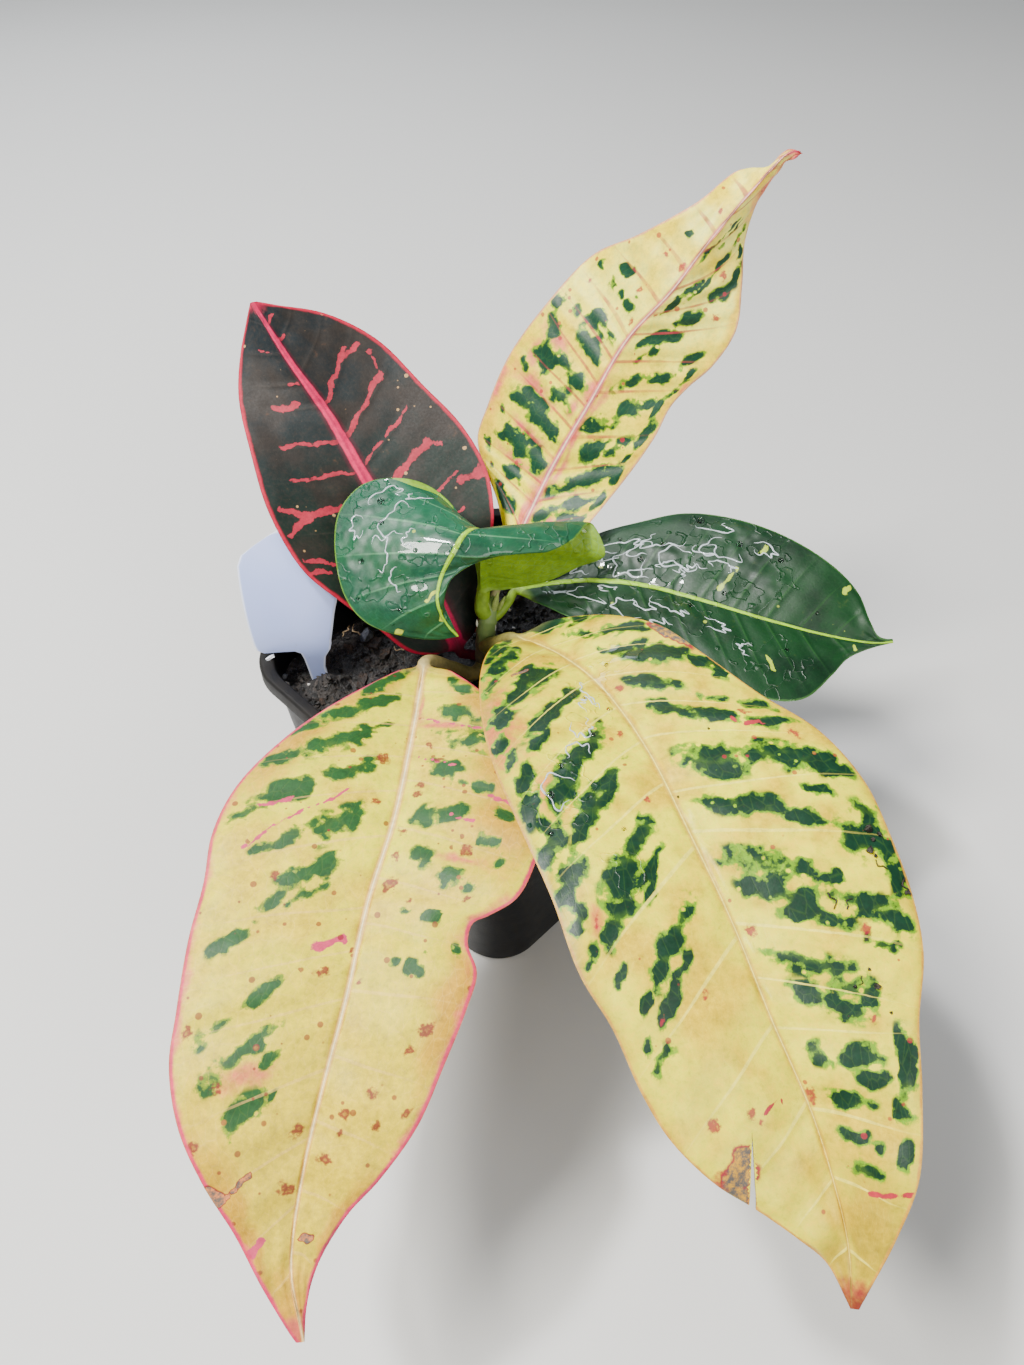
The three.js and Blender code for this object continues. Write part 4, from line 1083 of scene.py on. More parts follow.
            (0.643, -0.38, 1.8), (0.785, 0.04, 2.0), (0.76, -0.48, 1.6), (0.745, -0.73, 1.8),
            (0.705, 0.67, 1.3), (0.51, -0.78, 1.2), (0.63, -0.7, 1.0), (0.33, -0.12, 1.4),
            (0.43, -0.16, 1.3), (0.77, -0.42, 1.1),
        ],
        deep_and_shade=[
            (0.06, -0.85, 0.12, 0.35), (0.2, -1.0, 0.13, 0.25), (0.06, 0.0, 0.03, 0.6),
            (0.93, 0.6, 0.09, 0.7), (0.96, -0.5, 0.05, 0.8), (0.45, -1.05, 0.3, 0.12),
            (0.6, 1.05, 0.3, 0.1),
        ],
        finish=dict(
            Tip_share=0.9, Tip=(120, 10, 30), Ragged=0.72, Deep=(172, 142, 6), Ripple=5.0,
            Flank=(190, 140, 40), Stalk=(130, 124, 72), Dry_roughness=0.42, sheen=0.3, Ground=(232, 226, 6),
            Far_ground=(226, 214, 24), Mottle=(212, 178, 4), Tint=(206, 88, 66), Blotch=(12, 46, 28),
            Halo=(104, 148, 4), Vein=(246, 232, 96), Midrib=(196, 166, 52), Midrib_core=(232, 214, 96),
            Margin=(206, 148, 40), Speck=(150, 24, 44), Scar=(96, 90, 84), Streak=(164, 44, 52),
            Underside=(150, 130, 60), Speck_share=0.08, Vein_strength=0.6, Vein_width=0.026,
            Margin_width=0.5,
        ),
    ),
}

LEAVES = {name: make_leaf(name, curves, LEAF_LOOKS[name]) for name, curves in LEAF_CURVES.items()}

# ---------------------------------------------------------------- pot
FOOT_ROUND = 1.2  # radii of the pot's round edges in mm: of its foot,
LIP_ROUND = 1.1  # of the lip's upper edge outside,
LIP_TURN = 0.7  # and of the lip's lower edge and its edge inside


def pot_material():
    material, shader, here = new_material("pot_plastic")
    grime = cloud(here, 60, 5, 0.65)
    splash = (grime + height_of(here) * 4).step(0.62, 0.95)
    plastic = grime.blend(colour(4, 5, 8), colour(9, 11, 16))
    fill(shader, {
        "Base Color": plastic.toward(colour(60, 54, 46), splash * 0.25),
        "Roughness": grime * 0.25 + 0.3 + splash * 0.15,
        "Specular IOR Level": 0.18,
        "Normal": relief(cloud(here, 1400, 3), 0.15, 0.0002),
    })
    return material


def arc(side, z, radius, start_angle, end_angle, steps=6):
    """Points (side, height) of a round edge; angles in degrees, 0 outwards and 90 up."""
    angles = np.radians(np.linspace(start_angle, end_angle, steps + 1))
    return [(side + 2 * radius * math.cos(a), z + radius * math.sin(a)) for a in angles]


def wall_side(z):
    """How wide the pot's wall is outside, across the flats, at a height."""
    wall_top = POT_SIDE - 2 * LIP_OUT
    return POT_BASE_SIDE + (wall_top - POT_BASE_SIDE) * z / POT_HEIGHT


def make_pot():
    """The base is drawn once and its face is drawn up the wall, over the lip and down inside."""
    lip_foot = POT_HEIGHT - LIP_HEIGHT
    at_lip = wall_side(lip_foot)
    inner_top = POT_SIDE - 2 * LIP_OUT - 2 * POT_WALL
    inner_base = POT_BASE_SIDE - 2 * POT_WALL
    profile = [
        *arc(POT_BASE_SIDE - 2 * FOOT_ROUND, FOOT_ROUND, FOOT_ROUND, -80, 0),
        ((POT_BASE_SIDE + at_lip) / 2, lip_foot / 2),
        (at_lip - 0.6, lip_foot - 0.5),
        *arc(at_lip + 0.8, lip_foot - 0.2, 0.5, -180, -260, 4),
        *arc(POT_SIDE - 2 * LIP_TURN, lip_foot + LIP_TURN, LIP_TURN, -80, 0, 5),
        *arc(POT_SIDE - 2 * LIP_ROUND, POT_HEIGHT - LIP_ROUND, LIP_ROUND, 0, 90),
        *arc(inner_top + 1.2, POT_HEIGHT - LIP_TURN, LIP_TURN, 90, 180, 5),
        (inner_top - 5.4, POT_HEIGHT / 2),
        (inner_base, POT_FLOOR + 1.5),
        (inner_base - 2.5, POT_FLOOR),
    ]
    side, height = profile[0]
    pot = start(bpy.ops.mesh.primitive_plane_add, size=side * MM, rotation=(0, 0, math.pi / 4))
    settle(pot)
    edit(pot)
    corner = POT_CORNER * POT_BASE_SIDE / POT_SIDE
    bpy.ops.mesh.bevel(offset=corner * MM, offset_type="OFFSET", segments=16, affect="VERTICES")
    bpy.ops.transform.translate(value=(0, 0, height * MM))
    for next_side, next_height in profile[1:]:
        bpy.ops.mesh.extrude_region_move()
        bpy.ops.transform.resize(value=(next_side / side, next_side / side, 1))
        bpy.ops.transform.translate(value=(0, 0, (next_height - height) * MM))
        side, height = next_side, next_height
    fill_openings()
    leave_edit()
    drains = []
    for k in range(DRAIN_COUNT):
        angle = 2 * math.pi * k / DRAIN_COUNT
        place = (DRAIN_REACH * MM * math.cos(angle), DRAIN_REACH * MM * math.sin(angle), 0)
        size = {"radius": DRAIN_RADIUS * MM, "depth": 6 * POT_FLOOR * MM}
        drains.append(start(bpy.ops.mesh.primitive_cylinder_add, vertices=40, location=place, **size))
    drill = join(drains)
    settle(drill)
    carve(pot, drill)
    hand_over(pot, "pot", pot_material(), 35, ["pot"])


make_pot()

# ---------------------------------------------------------------- soil
# Places where the soil lies higher or lower: (x, y, height, radius).
MOUNDS = [(-4, 2, -1.2, 12), (-49, -4.5, 5.5, 4.2), (-32, 14, 1, 12)]
SOIL_CORNER = POT_CORNER - POT_WALL - 1
SOIL_RINGS = 80  # rings of the surface, from the wall to its middle
CORNER_STEPS = 12
EDGE_STEPS = 22


def soil_height(x, y):
    """Height of the soil at arrays x and y, all in mm."""
    places = np.stack([x, y, np.zeros_like(x)], -1)
    lumps = 1.1 * noise_at(places, 0.09, 4.0) + 0.7 * noise_at(places, 0.23, 9.0)
    lumps = lumps + 0.45 * np.abs(noise_at(places, 0.6, 2.0))
    for mx, my, height, radius in MOUNDS:
        lumps = lumps + height * bell(np.hypot(x - mx, y - my) / radius)
    return SOIL_LEVEL - 0.3 + lumps


def heading(turn):
    """The direction at a number of quarter turns from the X axis."""
    return np.array([math.cos(turn * math.pi / 2), math.sin(turn * math.pi / 2)])


def square_ring(side):
    """A rounded square with its corners on the X and Y axes, as rows of (x, y) in mm."""
    reach = (side / 2 - SOIL_CORNER) * math.sqrt(2)
    line = []
    for quarter in range(4):
        for k in range(CORNER_STEPS + 1):
            line.append(reach * heading(quarter) + SOIL_CORNER * heading(quarter - 0.5 + k / CORNER_STEPS))
        start_point = line[-1]
        end_point = reach * heading(quarter + 1) + SOIL_CORNER * heading(quarter + 0.5)
        line.extend(start_point + (end_point - start_point) * k / EDGE_STEPS for k in range(1, EDGE_STEPS))
    return np.array(line)


def soil_side(z):
    return wall_side(z) - 2 * POT_WALL - 2 * SOIL_GAP


def soil_material(name, dark, light, roughness):
    material, shader, here = new_material(name)
    grains = cells(here, 1000)
    tone = put(here.tree, "ShaderNodeSeparateColor", {"Color": grains["Color"]})[0]
    damp = cloud(here, 90, 4, 0.6)
    fine = cloud(here, 1800, 4, 0.7)
    soil = (tone**2 * fine).blend(dark, light)
    fill(shader, {
        "Base Color": soil.toward(soil.toward(colour(8, 6, 5), 0.5), damp.step(0.42, 0.6)),
        "Roughness": damp.step(0.4, 0.62, roughness, roughness - 0.3),
        "Normal": relief(grains["Distance"] * 0.7 + fine, 0.8, 0.0006),
    })
    return material


def make_soil():
    rows = []
    for z in (POT_FLOOR + SOIL_GAP, SOIL_LEVEL / 2, SOIL_LEVEL - 3):
        ring = square_ring(soil_side(z))
        rows.append(np.column_stack([ring, np.full(len(ring), z)]))
    edge = square_ring(soil_side(SOIL_LEVEL))
    for share in np.linspace(1, 0.004, SOIL_RINGS):
        ring = edge * share
        rows.append(np.column_stack([ring, soil_height(ring[:, 0], ring[:, 1])]))
    rows = np.array(rows)
    soil = sheet_of(np.concatenate([rows, rows[:, :1]], axis=1))
    hand_over(soil, "soil", PEAT, 60, ["soil"])


PEAT = soil_material("peat", colour(7, 6, 6), colour(84, 74, 68), 0.6)
make_soil()


def in_pot(margin):
    """A random place on the soil, in mm, at least margin from the pot's wall."""
    reach = soil_side(SOIL_LEVEL) / 2 - margin
    a, b = random.uniform(-reach, reach), random.uniform(-reach, reach)
    x, y = (a - b) / math.sqrt(2), (a + b) / math.sqrt(2)
    if math.hypot(x, y) > reach * math.sqrt(2) - 5:
        return x * 0.9, y * 0.9
    return x, y


def spread(model, spots, name, material):
    """Copies of a model about 1 long, joined. Each spot has a place and a size in mm, what the
    copy's own Z axis faces, and its turn about that axis."""
    copies = []
    for place, size, facing, turn in spots:
        twin = model.copy()
        twin.data = model.data.copy()
        twin.location = Vector(place) * MM
        tilt = Vector(facing).to_track_quat("Z", "Y")
        twin.rotation_euler = (tilt @ Quaternion((0, 0, 1), turn)).to_euler()
        twin.scale = Vector(size) * MM
        bpy.context.collection.objects.link(twin)
        copies.append(twin)
    bpy.data.objects.remove(model)
    heap = join(copies)
    settle(heap)
    hand_over(heap, name, material, 50)


def on_soil(x, y, length, lift):
    """A spot on the soil with a random turn, tilt and proportion."""
    z = soil_height(np.array([x]), np.array([y]))[0] + length * lift
    size = [length * random.uniform(0.75, 1.25) for _ in range(3)]
    facing = (random.uniform(-0.5, 0.5), random.uniform(-0.5, 0.5), 1)
    return (x, y, z), size, facing, random.uniform(0, 2 * math.pi)


def strewn(count, least, most, margin, lift):
    """Random spots all over the soil, small ones more often; lengths in mm."""
    spots = []
    for _ in range(count):
        x, y = in_pot(margin)
        length = least + (most - least) * random.random() ** 2.2
        spots.append(on_soil(x, y, length, lift))
    return spots


def crumb_model():
    """A lumpy crumb, about 1 long."""
    crumb = start(bpy.ops.mesh.primitive_ico_sphere_add, subdivisions=1, radius=0.5)
    for vertex in crumb.data.vertices:
        vertex.co *= 1 + 0.6 * noise.noise(vertex.co * 3.1)
    return crumb


def chip_model():
    """A flat chip of bark, about 1 long, with worn edges."""
    chip = start(bpy.ops.mesh.primitive_cube_add, size=1)
    chip.scale = (1, 0.5, 0.2)
    settle(chip)
    subdivide(chip, 2)
    # noise_vector takes its offsets from the clock, so chips differ slightly from run to run
    for vertex in chip.data.vertices:
        push = noise.noise_vector(vertex.co * 3.3)
        vertex.co += Vector((push.x * 0.16, push.y * 0.16, push.z * 0.1))
        vertex.co.y *= 1 - 0.5 * abs(vertex.co.x)
    return chip


def straw_model():
    """A thin curved fibre, 1 long."""
    level = (0, math.pi / 2, 0)
    straw = start(bpy.ops.mesh.primitive_cylinder_add, vertices=8, radius=0.06, depth=1, rotation=level)
    settle(straw)
    subdivide(straw, 5)
    for vertex in straw.data.vertices:
        vertex.co.y += 0.9 * vertex.co.x**2 + 0.12 * math.sin(9 * vertex.co.x)
    return straw


def grain_material(name, dark, light, roughness=0.7):
    material, shader, here = new_material(name)
    tone = cloud(here, 900, 4, 0.6)
    fill(shader, {
        "Base Color": tone.step(0.35, 0.65).blend(dark, light),
        "Roughness": roughness,
        "Normal": relief(tone, 0.5, 0.0003),
    })
    return material


# Seen grains, straws and pebbles: (x, y, length), all in mm.
PERLITE_SPOTS = [
    (-61.4, -3.4, 2.0), (-54.5, -4.9, 0.9), (3.1, 28.1, 1.1), (4.6, 20.9, 1.3), (-12, 44, 1.4),
    (30, 30, 1.6), (44, 6, 1.2), (22, -32, 1.5), (-14, -38, 1.3), (48, -8, 1.0),
]
STRAW_SPOTS = [
    (-46, 19.5, 3.4), (-47.5, 18, 2.6), (-43.8, 18, 3.6), (-30, 10, 3.0), (-22, 22, 3.2), (20, 34, 4.0),
]
PEBBLE_SPOTS = [(-39.7, 15.7, 4.6, 0.2), (-62.4, -0.6, 2.0, 0.3)]  # with the lift as a share of length
BARK = soil_material("bark", colour(26, 16, 10), colour(92, 62, 38), 0.8)
PERLITE = grain_material("perlite", colour(196, 192, 184), colour(236, 234, 228))
STRAW = grain_material("straw", colour(110, 84, 58), colour(190, 164, 124), 0.6)
PEBBLE = grain_material("pebble", colour(60, 62, 68), colour(112, 114, 120), 0.5)
crumb_spots = strewn(count=2600, least=0.5, most=2.3, margin=2, lift=0.05)
spread(crumb_model(), crumb_spots, "soil_crumbs", PEAT)
chip_spots = strewn(count=80, least=2.5, most=8, margin=5, lift=0.03)
spread(chip_model(), chip_spots, "bark_chips", BARK)
spread(crumb_model(), [on_soil(*spot, lift=0.3) for spot in PERLITE_SPOTS], "perlite", PERLITE)
spread(straw_model(), [on_soil(*spot, lift=0.2) for spot in STRAW_SPOTS], "straw", STRAW)
spread(crumb_model(), [on_soil(*spot) for spot in PEBBLE_SPOTS], "pebbles", PEBBLE)

# ---------------------------------------------------------------- what lies on the leaves


def on_leaf(name, v, q):
    """The place in mm and the facing of a leaf's upper face, where along is v and across is q."""
    mesh = LEAVES[name].data
    along, across, under = (np.empty(len(mesh.vertices), np.float32) for _ in range(3))
    for values, key in ((along, "along"), (across, "across"), (under, "under")):
        mesh.attributes[key].data.foreach_get("value", values)
    nearest = mesh.vertices[int(np.argmin(np.hypot(5 * (along - v), across - q) + 9 * under))]
    return nearest.co / MM, nearest.normal


def lying(name, places, height):
    """Spots on a leaf for (along, across, length in mm), raised by height as a share of length."""
    spots = []
    for v, q, length in places:
        place, facing = on_leaf(name, v, q)
        turn = random.uniform(0, 2 * math.pi)
        spots.append((place + facing * (height * length), (length, length, length), facing, turn))
    return spots


def drop_model():
    """A bead of water, 1 across and flat below."""
    drop = start(bpy.ops.mesh.primitive_uv_sphere_add, segments=24, ring_count=16, radius=0.5)
    for vertex in drop.data.vertices:
        vertex.co.z *= 0.62 if vertex.co.z > 0 else 0.2
    return drop


def water_material(name, tone, clear):
    """Clear is the share of light that goes through. Thin runs get a pale colour and let less through: a
    painted highlight of their glints.
    """
    material, shader, here = new_material(name)
    fill(shader, {
        "Base Color": tone, "Roughness": 0.02, "IOR": WATER_BENDING, "Transmission Weight": clear,
        "Normal": relief(cloud(here, 600, 1), 0.2, 0.0001),
    })
    return material


# Crumbs, rootlets and beads of water on the leaves: (along, across, length in mm).
DEBRIS = {
    "crumbs": [
        (0.518, 0.9, 1.8), (0.523, 0.93, 1.2), (0.528, 0.88, 1.0), (0.54, 0.84, 1.6), (0.546, 0.86, 0.9),
        (0.445, 0.03, 0.6), (0.672, 0.71, 1.4), (0.672, 0.58, 0.8), (0.66, 0.66, 0.7), (0.585, 0.96, 1.0),
        (0.7, 0.8, 0.6), (0.36, 0.42, 0.6),
    ],
    "rootlets": [
        (0.588, 0.57, 3.2), (0.592, 0.62, 2.4), (0.582, 0.97, 3.4), (0.56, 0.86, 2.6), (0.668, 0.62, 1.8),
    ],
}
WATER_BEADS = {
    "leaf_right": [
        (0.413, 0.88, 2.2), (0.532, 0.71, 1.8), (0.48, -0.12, 1.4), (0.635, 0.71, 1.6), (0.56, 0.14, 1.3),
        (0.32, 0.33, 2.0), (0.245, 0.7, 1.6), (0.7, -0.4, 1.2), (0.78, 0.3, 1.0), (0.36, 0.55, 1.4),
    ],
    "leaf_centre": [
        (0.473, -0.74, 2.0), (0.53, -0.62, 1.5), (0.635, -0.76, 1.7), (0.795, -0.5, 1.2),
        (0.732, -0.86, 1.0), (0.6, -0.3, 1.3),
    ],
    "leaf_lower_right": [
        (0.28, -0.07, 1.5), (0.335, -0.61, 1.6), (0.362, -0.76, 1.9), (0.25, -0.2, 1.2), (0.445, -0.4, 1.1),
        (0.2, 0.2, 1.2), (0.31, -0.3, 1.4), (0.4, -0.85, 1.3),
    ],
}
# Thin runs of water: (along, across, half length, half width, share of a whole turn).
WATER_TRAILS = {
    "leaf_right": [
        (0.3, 0.3, 0.05, 0.2, 0.8), (0.35, 0.62, 0.05, 0.15, 0.7), (0.42, 0.4, 0.06, 0.12, 0.9),
        (0.25, 0.55, 0.05, 0.12, 0.6), (0.5, 0.62, 0.05, 0.14, 0.7), (0.58, 0.75, 0.04, 0.08, 0.8),
        (0.2, 0.25, 0.04, 0.12, 0.7), (0.36, 0.16, 0.05, 0.08, 0.6), (0.47, 0.25, 0.04, 0.1, 0.5),
        (0.2, -0.3, 0.05, 0.14, 0.7), (0.3, -0.45, 0.05, 0.14, 0.8), (0.42, -0.2, 0.05, 0.1, 0.6),
        (0.4, -0.55, 0.04, 0.1, 0.6), (0.52, -0.3, 0.04, 0.08, 0.7), (0.44, 0.85, 0.05, 0.06, 0.6),
        (0.31, 0.48, 0.03, 0.1, 0.9), (0.4, 0.28, 0.03, 0.08, 0.8), (0.46, 0.55, 0.03, 0.08, 0.9),
        (0.52, 0.42, 0.03, 0.07, 0.8), (0.24, 0.4, 0.03, 0.08, 0.9), (0.62, 0.6, 0.03, 0.07, 0.6),
        (0.26, -0.15, 0.03, 0.06, 0.8), (0.34, -0.3, 0.03, 0.08, 0.8), (0.6, -0.5, 0.03, 0.07, 0.6),
    ],
    "leaf_centre": [
        (0.5, -0.5, 0.06, 0.14, 0.6), (0.62, -0.62, 0.05, 0.12, 0.6), (0.45, -0.75, 0.05, 0.08, 0.7),
        (0.7, -0.4, 0.05, 0.1, 0.5), (0.4, -0.6, 0.03, 0.06, 0.7), (0.55, -0.8, 0.03, 0.06, 0.8),
        (0.56, -0.35, 0.03, 0.06, 0.7), (0.66, -0.8, 0.03, 0.05, 0.6),
    ],
    "leaf_lower_right": [
        (0.36, -0.68, 0.022, 0.1, 0.9), (0.29, -0.34, 0.02, 0.08, 0.8), (0.33, -0.45, 0.018, 0.1, 0.6),
        (0.39, -0.8, 0.014, 0.06, 0.8), (0.24, -0.12, 0.03, 0.05, 0.5), (0.27, -0.2, 0.02, 0.06, 0.6),
    ],
}
TRAIL_STOPS = 13
TRAIL_ROWS = 70
TRAIL_SIDES = 10
TRAIL_HALF = 0.22  # half width of a run of water, in mm
TRAIL_FLAT = 0.7  # its height as a share of its width


def trail(name, v, q, tall, wide, turns):
    """A thin run of water that wanders round a place of a leaf."""
    start_angle = random.uniform(0, 2 * math.pi)
    stops = []
    for k in range(TRAIL_STOPS):
        angle = start_angle + 2 * math.pi * turns * k / TRAIL_STOPS
        reach = random.uniform(0.55, 1.3)
        stops.append(on_leaf(name, v + tall * reach * math.cos(angle), q + wide * reach * math.sin(angle)))
    shares = np.linspace(0, 1, TRAIL_ROWS)
    centre = smooth_line([place for place, facing in stops], shares)
    facings = np.array([facing for place, facing in stops])
    knots = np.linspace(0, 1, TRAIL_STOPS)
    up = unit(np.stack([np.interp(shares, knots, facings[:, k]) for k in range(3)], axis=-1))
    aside = unit(np.cross(unit(np.gradient(centre, axis=0)), up))
    taper = np.sqrt(np.clip(4 * shares * (1 - shares), 0.01, 1))
    half = TRAIL_HALF * taper * (1 + 0.3 * np.sin(23 * shares + start_angle))
    angles = np.linspace(0, 2 * math.pi, TRAIL_SIDES + 1)
    return sheet_of(rings(centre, aside, up * TRAIL_FLAT, half[:, None], angles))


soil_on_leaf = lying("leaf_lower_right", DEBRIS["crumbs"], height=0.25)
spread(crumb_model(), soil_on_leaf, "leaf_debris", PEAT)
rootlet_spots = lying("leaf_lower_right", DEBRIS["rootlets"], height=0.08)
ROOTLET = grain_material("rootlet", colour(14, 9, 7), colour(40, 26, 18), 0.6)
spread(straw_model(), rootlet_spots, "rootlets", ROOTLET)
WATER = water_material("water", colour(255, 255, 255), clear=1.0)
beads = [spot for leaf_name, places in WATER_BEADS.items() for spot in lying(leaf_name, places, height=0.03)]
spread(drop_model(), beads, "water_beads", WATER)
# pale and only partly clear: the runs' colour is a painted highlight of glints on water
WATER_GLINT = water_material("water_glint", colour(226, 236, 242), clear=0.45)
runs = join([trail(leaf_name, *mark) for leaf_name, marks in WATER_TRAILS.items() for mark in marks])
hand_over(runs, "water_runs", WATER_GLINT, 80)

# ---------------------------------------------------------------- stem
STEM_LINE = [(-4, 2, 30), (-4, 2, 50), (-4, 2, 62), (-4, 3.5, 70), (-3.3, 6, 77), (-2.6, 7.2, 80),
             (-1.9, 8.4, 82.7), (-1.4, 9, 85.4)]
STEM_RADIUS = [2.4, 2.8, 2.7, 2.6, 2.7, 2.4, 1.5, 0.5]
STEM_JOINTS = (64.5, 67.8, 71.5, 75, 78.6)  # heights at which leaves grew
STEM_RINGS = 120
STEM_SIDES = 48


def stem_material():
    material, shader, here = new_material("stem_bark")
    grain = cloud(here, 500, 4, 0.6)
    green = (height_of(here) + grain * 0.006).step(0.074, 0.08)
    bark = grain.blend(colour(78, 70, 52), colour(136, 122, 92))
    fill(shader, {
        "Base Color": bark.toward(colour(122, 146, 78), green),
        "Roughness": 0.5,
        "Normal": relief(grain, 0.5, 0.0004),
    })
    return material


def make_stem():
    shares = np.linspace(0, 1, STEM_RINGS)
    centre = smooth_line(STEM_LINE, shares)
    way = unit(np.gradient(centre, axis=0))
    side = unit(np.array([1.0, 0, 0]) - way * way[:, :1])
    lengths = np.linalg.norm(np.diff(np.array(STEM_LINE, float), axis=0), axis=1)
    knots = np.concatenate([[0], np.cumsum(lengths)]) / lengths.sum()
    angle = np.linspace(0, 2 * math.pi, STEM_SIDES + 1)
    wave = 1 + 0.03 * np.sin(3 * angle + 9 * shares[:, None])
    radius = np.interp(shares, knots, STEM_RADIUS)[:, None] * wave
    swellings = sum(0.22 * bell((centre[:, 2] - z) / 0.7) for z in STEM_JOINTS)
    stem = sheet_of(rings(centre, side, np.cross(way, side), radius + swellings[:, None], angle))
    hand_over(stem, "stem", stem_material(), 60, ["stem"])


make_stem()


def bud_model():
    """A pointed bract, 1 long, its foot at its own origin."""
    bract = start(bpy.ops.mesh.primitive_uv_sphere_add, segments=24, ring_count=18, radius=0.5)
    bract.location.z = 0.45
    settle(bract)
    for vertex in bract.data.vertices:
        narrowing = 1 - 0.6 * vertex.co.z
        vertex.co.x *= 0.36 * narrowing
        vertex.co.y *= 0.26 * narrowing
    return bract


# The bud at the top of the stem, and pale scars where leaves fell: (place, length, facing).
BRACTS = [((-1.2, 7.6, 81), 8.5, (0.16, -0.1, 1)), ((0.1, 8.2, 81), 6.5, (0.34, -0.1, 1)),
          ((-2.4, 7.8, 80.5), 5.5, (-0.12, -0.2, 1))]
SCARS = [((-5.9, 5.2, 77.2), 2.6, (-0.05, 0.2, 1)), ((-1.0, 5.0, 75.8), 3.0, (0.1, 0.2, 1)),
         ((-1.6, 1.2, 69.4), 1.4, (0.1, 0.2, 1))]
BRACT_SKIN = grain_material("bract", colour(150, 170, 84), colour(176, 190, 112), 0.45)
SCAR_SKIN = grain_material("scar", colour(206, 204, 178), colour(224, 222, 204), 0.5)
for marks, name, skin in ((BRACTS, "bud", BRACT_SKIN), (SCARS, "stem_scars", SCAR_SKIN)):
    spots = [(place, [length] * 3, way, 0) for place, length, way in marks]
    spread(bud_model(), spots, name, skin)

# ---------------------------------------------------------------- label
LABEL_THICKNESS = 0.7
LABEL_X, LABEL_Y = -51, -2  # where the stake enters the soil
LABEL_TILT = 0.14  # to the left, in radians
LABEL_CURL = 24  # radius that its right side is curled to
LABEL_LEAN_FROM = 72  # the height above which it leans back
LABEL_LEAN = 0.018  # how far back, for each square mm of height
LABEL_ROUND = 0.7  # how much of its half thickness the rounding of its edge takes in
LABEL_GRID = (190, 46)  # rows and columns of each face
SLOPE_REACH = 0.05  # how far off the slope of a face is measured, in mm
# Heights above the soil along the stake, with the label's reach to the left and to the right.
LABEL_ROWS = [(-20, 0.8, 0.8), (-10, 2, 1.4), (0, 3, 2.2), (6, 2.8, 2.4), (10, 2.7, 3.6), (12.4, 3, 5.6),
              (13.4, 4.6, 6), (13.7, 9, 6.1), (13.9, 13.6, 6.2), (14.9, 15, 6.4), (17, 15.3, 7.2),
              (22, 15.3, 9), (27, 15.3, 11.4), (31, 15.3, 11), (34, 15.3, 9.4), (37, 15.2, 7.4),
              (39, 13.9, 5.8), (40.3, 10.6, 4.4), (41.5, 6.8, 2.8), (42.3, 3.6, 1.4)]


def label_point(across, height):
    """The label's middle surface, at arrays of the distance to the right and the height, in mm."""
    bend = np.maximum(across, 0) / LABEL_CURL
    aside = np.minimum(across, 0) + LABEL_CURL * np.sin(bend)
    cos, sin = math.cos(LABEL_TILT), math.sin(LABEL_TILT)
    x = LABEL_X + aside * cos - height * sin
    z = SOIL_LEVEL + height * cos + aside * sin
    rise = np.maximum(z - LABEL_LEAN_FROM, 0)
    y = LABEL_Y + LABEL_CURL * (1 - np.cos(bend)) + LABEL_LEAN * rise**2
    return np.stack([x, y, z], -1)


def label_material():
    material, shader, here = new_material("label_plastic")
    broad = cloud(here, 60, 3)
    stain = cloud(here, 320, 5, 0.7).step(0.62, 0.72)
    low = height_of(here).step(0.066, 0.082, 0.8, 0.06)
    plastic = broad.blend(colour(156, 172, 226), colour(172, 186, 232))
    dirty = plastic.toward(colour(120, 104, 88), stain * low)
    # paler towards the label's rounded edge: a painted highlight along its outline
    edge = field(here.tree, "rim").step(0.3, 0.75, 0.5, 0)
    fill(shader, {
        "Base Color": dirty.toward(colour(250, 251, 253), edge),
        "Roughness": broad.step(0.3, 0.7, 0.32, 0.46),
        "Normal": relief(cloud(here, 900), 0.08, 0.0002),
    })
    return material


def make_label():
    table = np.array(LABEL_ROWS)
    row_count, column_count = LABEL_GRID
    height = np.interp(np.linspace(0, len(table) - 1, row_count), np.arange(len(table)), table[:, 0])
    left, right = (np.interp(height, table[:, 0], table[:, k]) for k in (1, 2))
    across = right[:, None] - (left + right)[:, None] * np.linspace(0, 1, column_count)
    tall = np.broadcast_to(height[:, None], across.shape)
    middle = label_point(across, tall)
    aside = label_point(across + SLOPE_REACH, tall) - middle
    above = label_point(across, tall + SLOPE_REACH) - middle
    facing = unit(np.cross(above, aside))
    half = LABEL_THICKNESS / 2
    rim = np.minimum(across + left[:, None], right[:, None] - across)
    rim = np.minimum(rim, (height[-1] - tall) + 0.05)
    inward = np.clip(rim / (LABEL_ROUND * half), 0, 1)
    thick = half * np.sqrt(np.clip(1 - (1 - inward) ** 2, 0.12, 1))[..., None]
    front, back = middle + facing * thick, middle - facing * thick
    places = np.concatenate([front, back[:, ::-1], front[:, :1]], axis=1)
    label = sheet_of(places, {"rim": np.concatenate([rim, rim[:, ::-1], rim[:, :1]], axis=1)})
    hand_over(label, "label", label_material(), 50, ["label"])


make_label()
# The chip wears the plain label material that came with the frame, not the stained one above.
FRAME_PLASTIC = bpy.data.materials["label_plastic"]
LABEL_CHIP = ((-64.6, -2.4, 72.4), (2.6, 1.4, 5.0), (0.3, -1, 0.4), 0.4)
spread(chip_model(), [LABEL_CHIP], "label_chip", FRAME_PLASTIC)

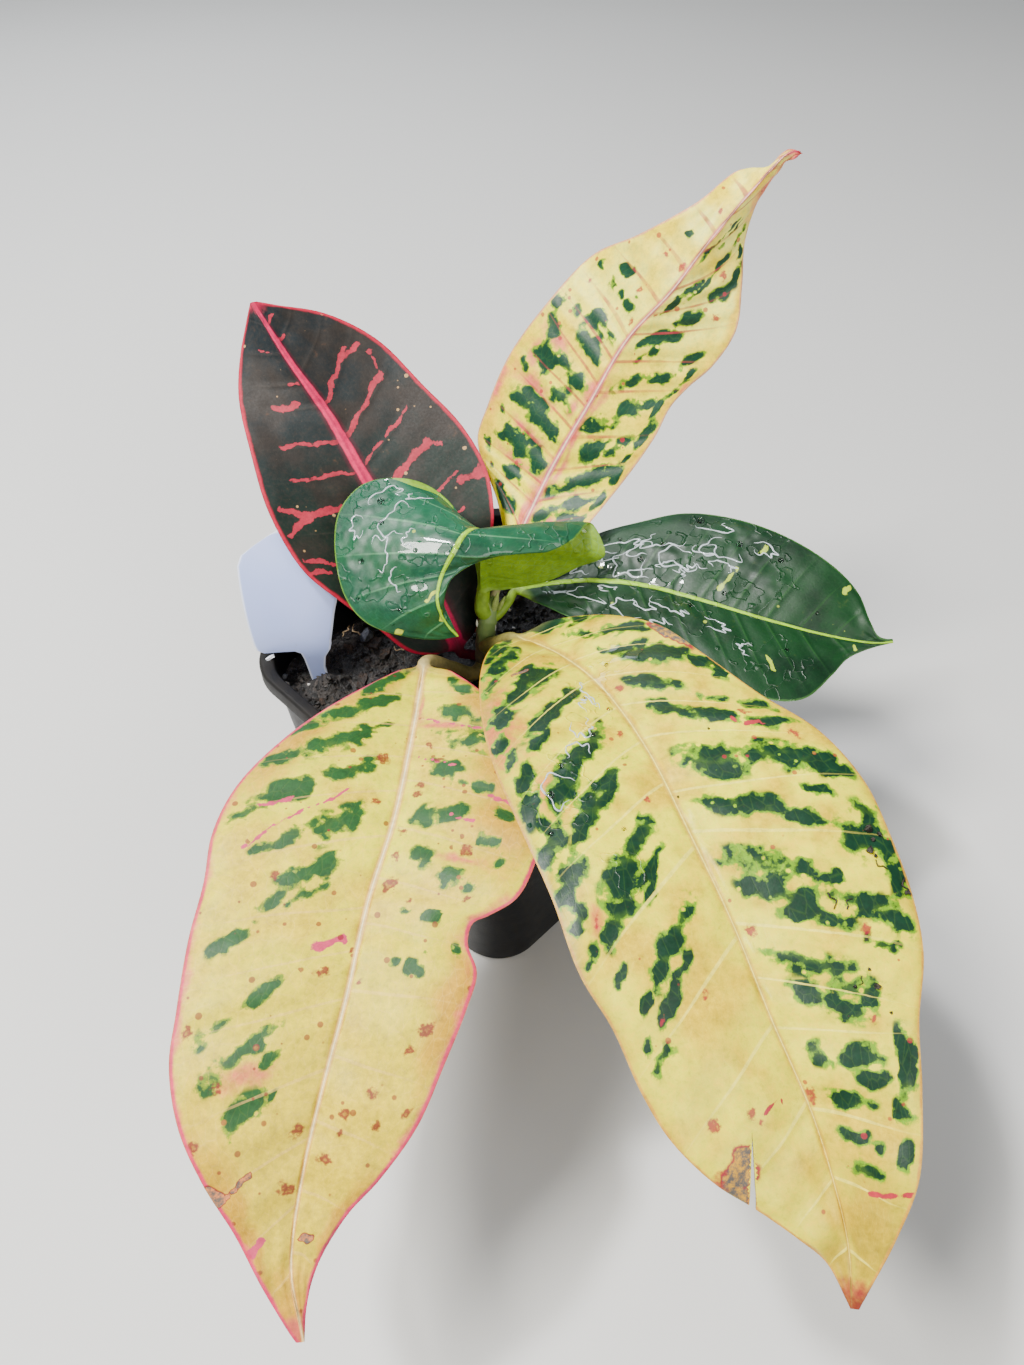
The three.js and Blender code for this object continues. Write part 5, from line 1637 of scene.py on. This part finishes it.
# ---------------------------------------------------------------- floor, light and camera
PLANT_MIDDLE = (0, -0.04, 0.08)  # what the lights face, in metres
CAMERA_PLACE = (4, -201, 275)  # in mm
CAMERA_PITCH = 47  # degrees below the horizon
SENSOR = 36  # mm across the picture's long side
PICTURE_LONG = 1365
FOCAL_PIXELS = 1000


def make_stage():
    floor = start(bpy.ops.mesh.primitive_plane_add, size=6)
    floor.name = "studio_floor"
    material, shader, here = new_material("studio_floor")
    tone = cloud(here, 3, 3).blend(colour(205, 204, 202), colour(212, 211, 209))
    fill(shader, {"Base Color": tone, "Roughness": 0.7})
    floor.data.materials.append(material)
    world = bpy.data.worlds.new("studio")
    bpy.context.scene.world = world
    world.use_nodes = True
    fill(world.node_tree.nodes["Background"].inputs, {"Color": (0.8, 0.89, 1, 1), "Strength": 0.22})


def add_light(name, place, size, power, tone=(1, 1, 1)):
    lamp = bpy.data.lights.new(name, "AREA")
    lamp.shape = "RECTANGLE"
    lamp.size, lamp.size_y = size
    lamp.energy = power
    lamp.color = tone
    holder = bpy.data.objects.new(name, lamp)
    holder.location = place
    holder.rotation_euler = (Vector(PLANT_MIDDLE) - Vector(place)).to_track_quat("-Z", "Y").to_euler()
    bpy.context.collection.objects.link(holder)


make_stage()
add_light("sky_panel", (-0.55, -0.3, 1.05), (0.3, 0.25), 20, (1, 0.98, 0.91))
add_light("back_panel", (-0.5, 0.9, 0.7), (0.5, 0.3), 5, (0.85, 0.92, 1))
add_light("glint_panel", (-0.45, 0.05, 1.1), (0.12, 0.1), 14)
add_light("front_fill", (0.6, -0.9, 0.8), (0.7, 0.5), 10, (1, 0.98, 0.95))

camera = bpy.data.cameras.new("camera")
camera.lens = FOCAL_PIXELS / PICTURE_LONG * SENSOR
camera.sensor_width = SENSOR
camera.clip_start = 0.01
viewer = bpy.data.objects.new("camera", camera)
viewer.location = Vector(CAMERA_PLACE) * MM
viewer.rotation_euler = (math.radians(90 - CAMERA_PITCH), 0, 0)
bpy.context.collection.objects.link(viewer)
bpy.context.scene.camera = viewer
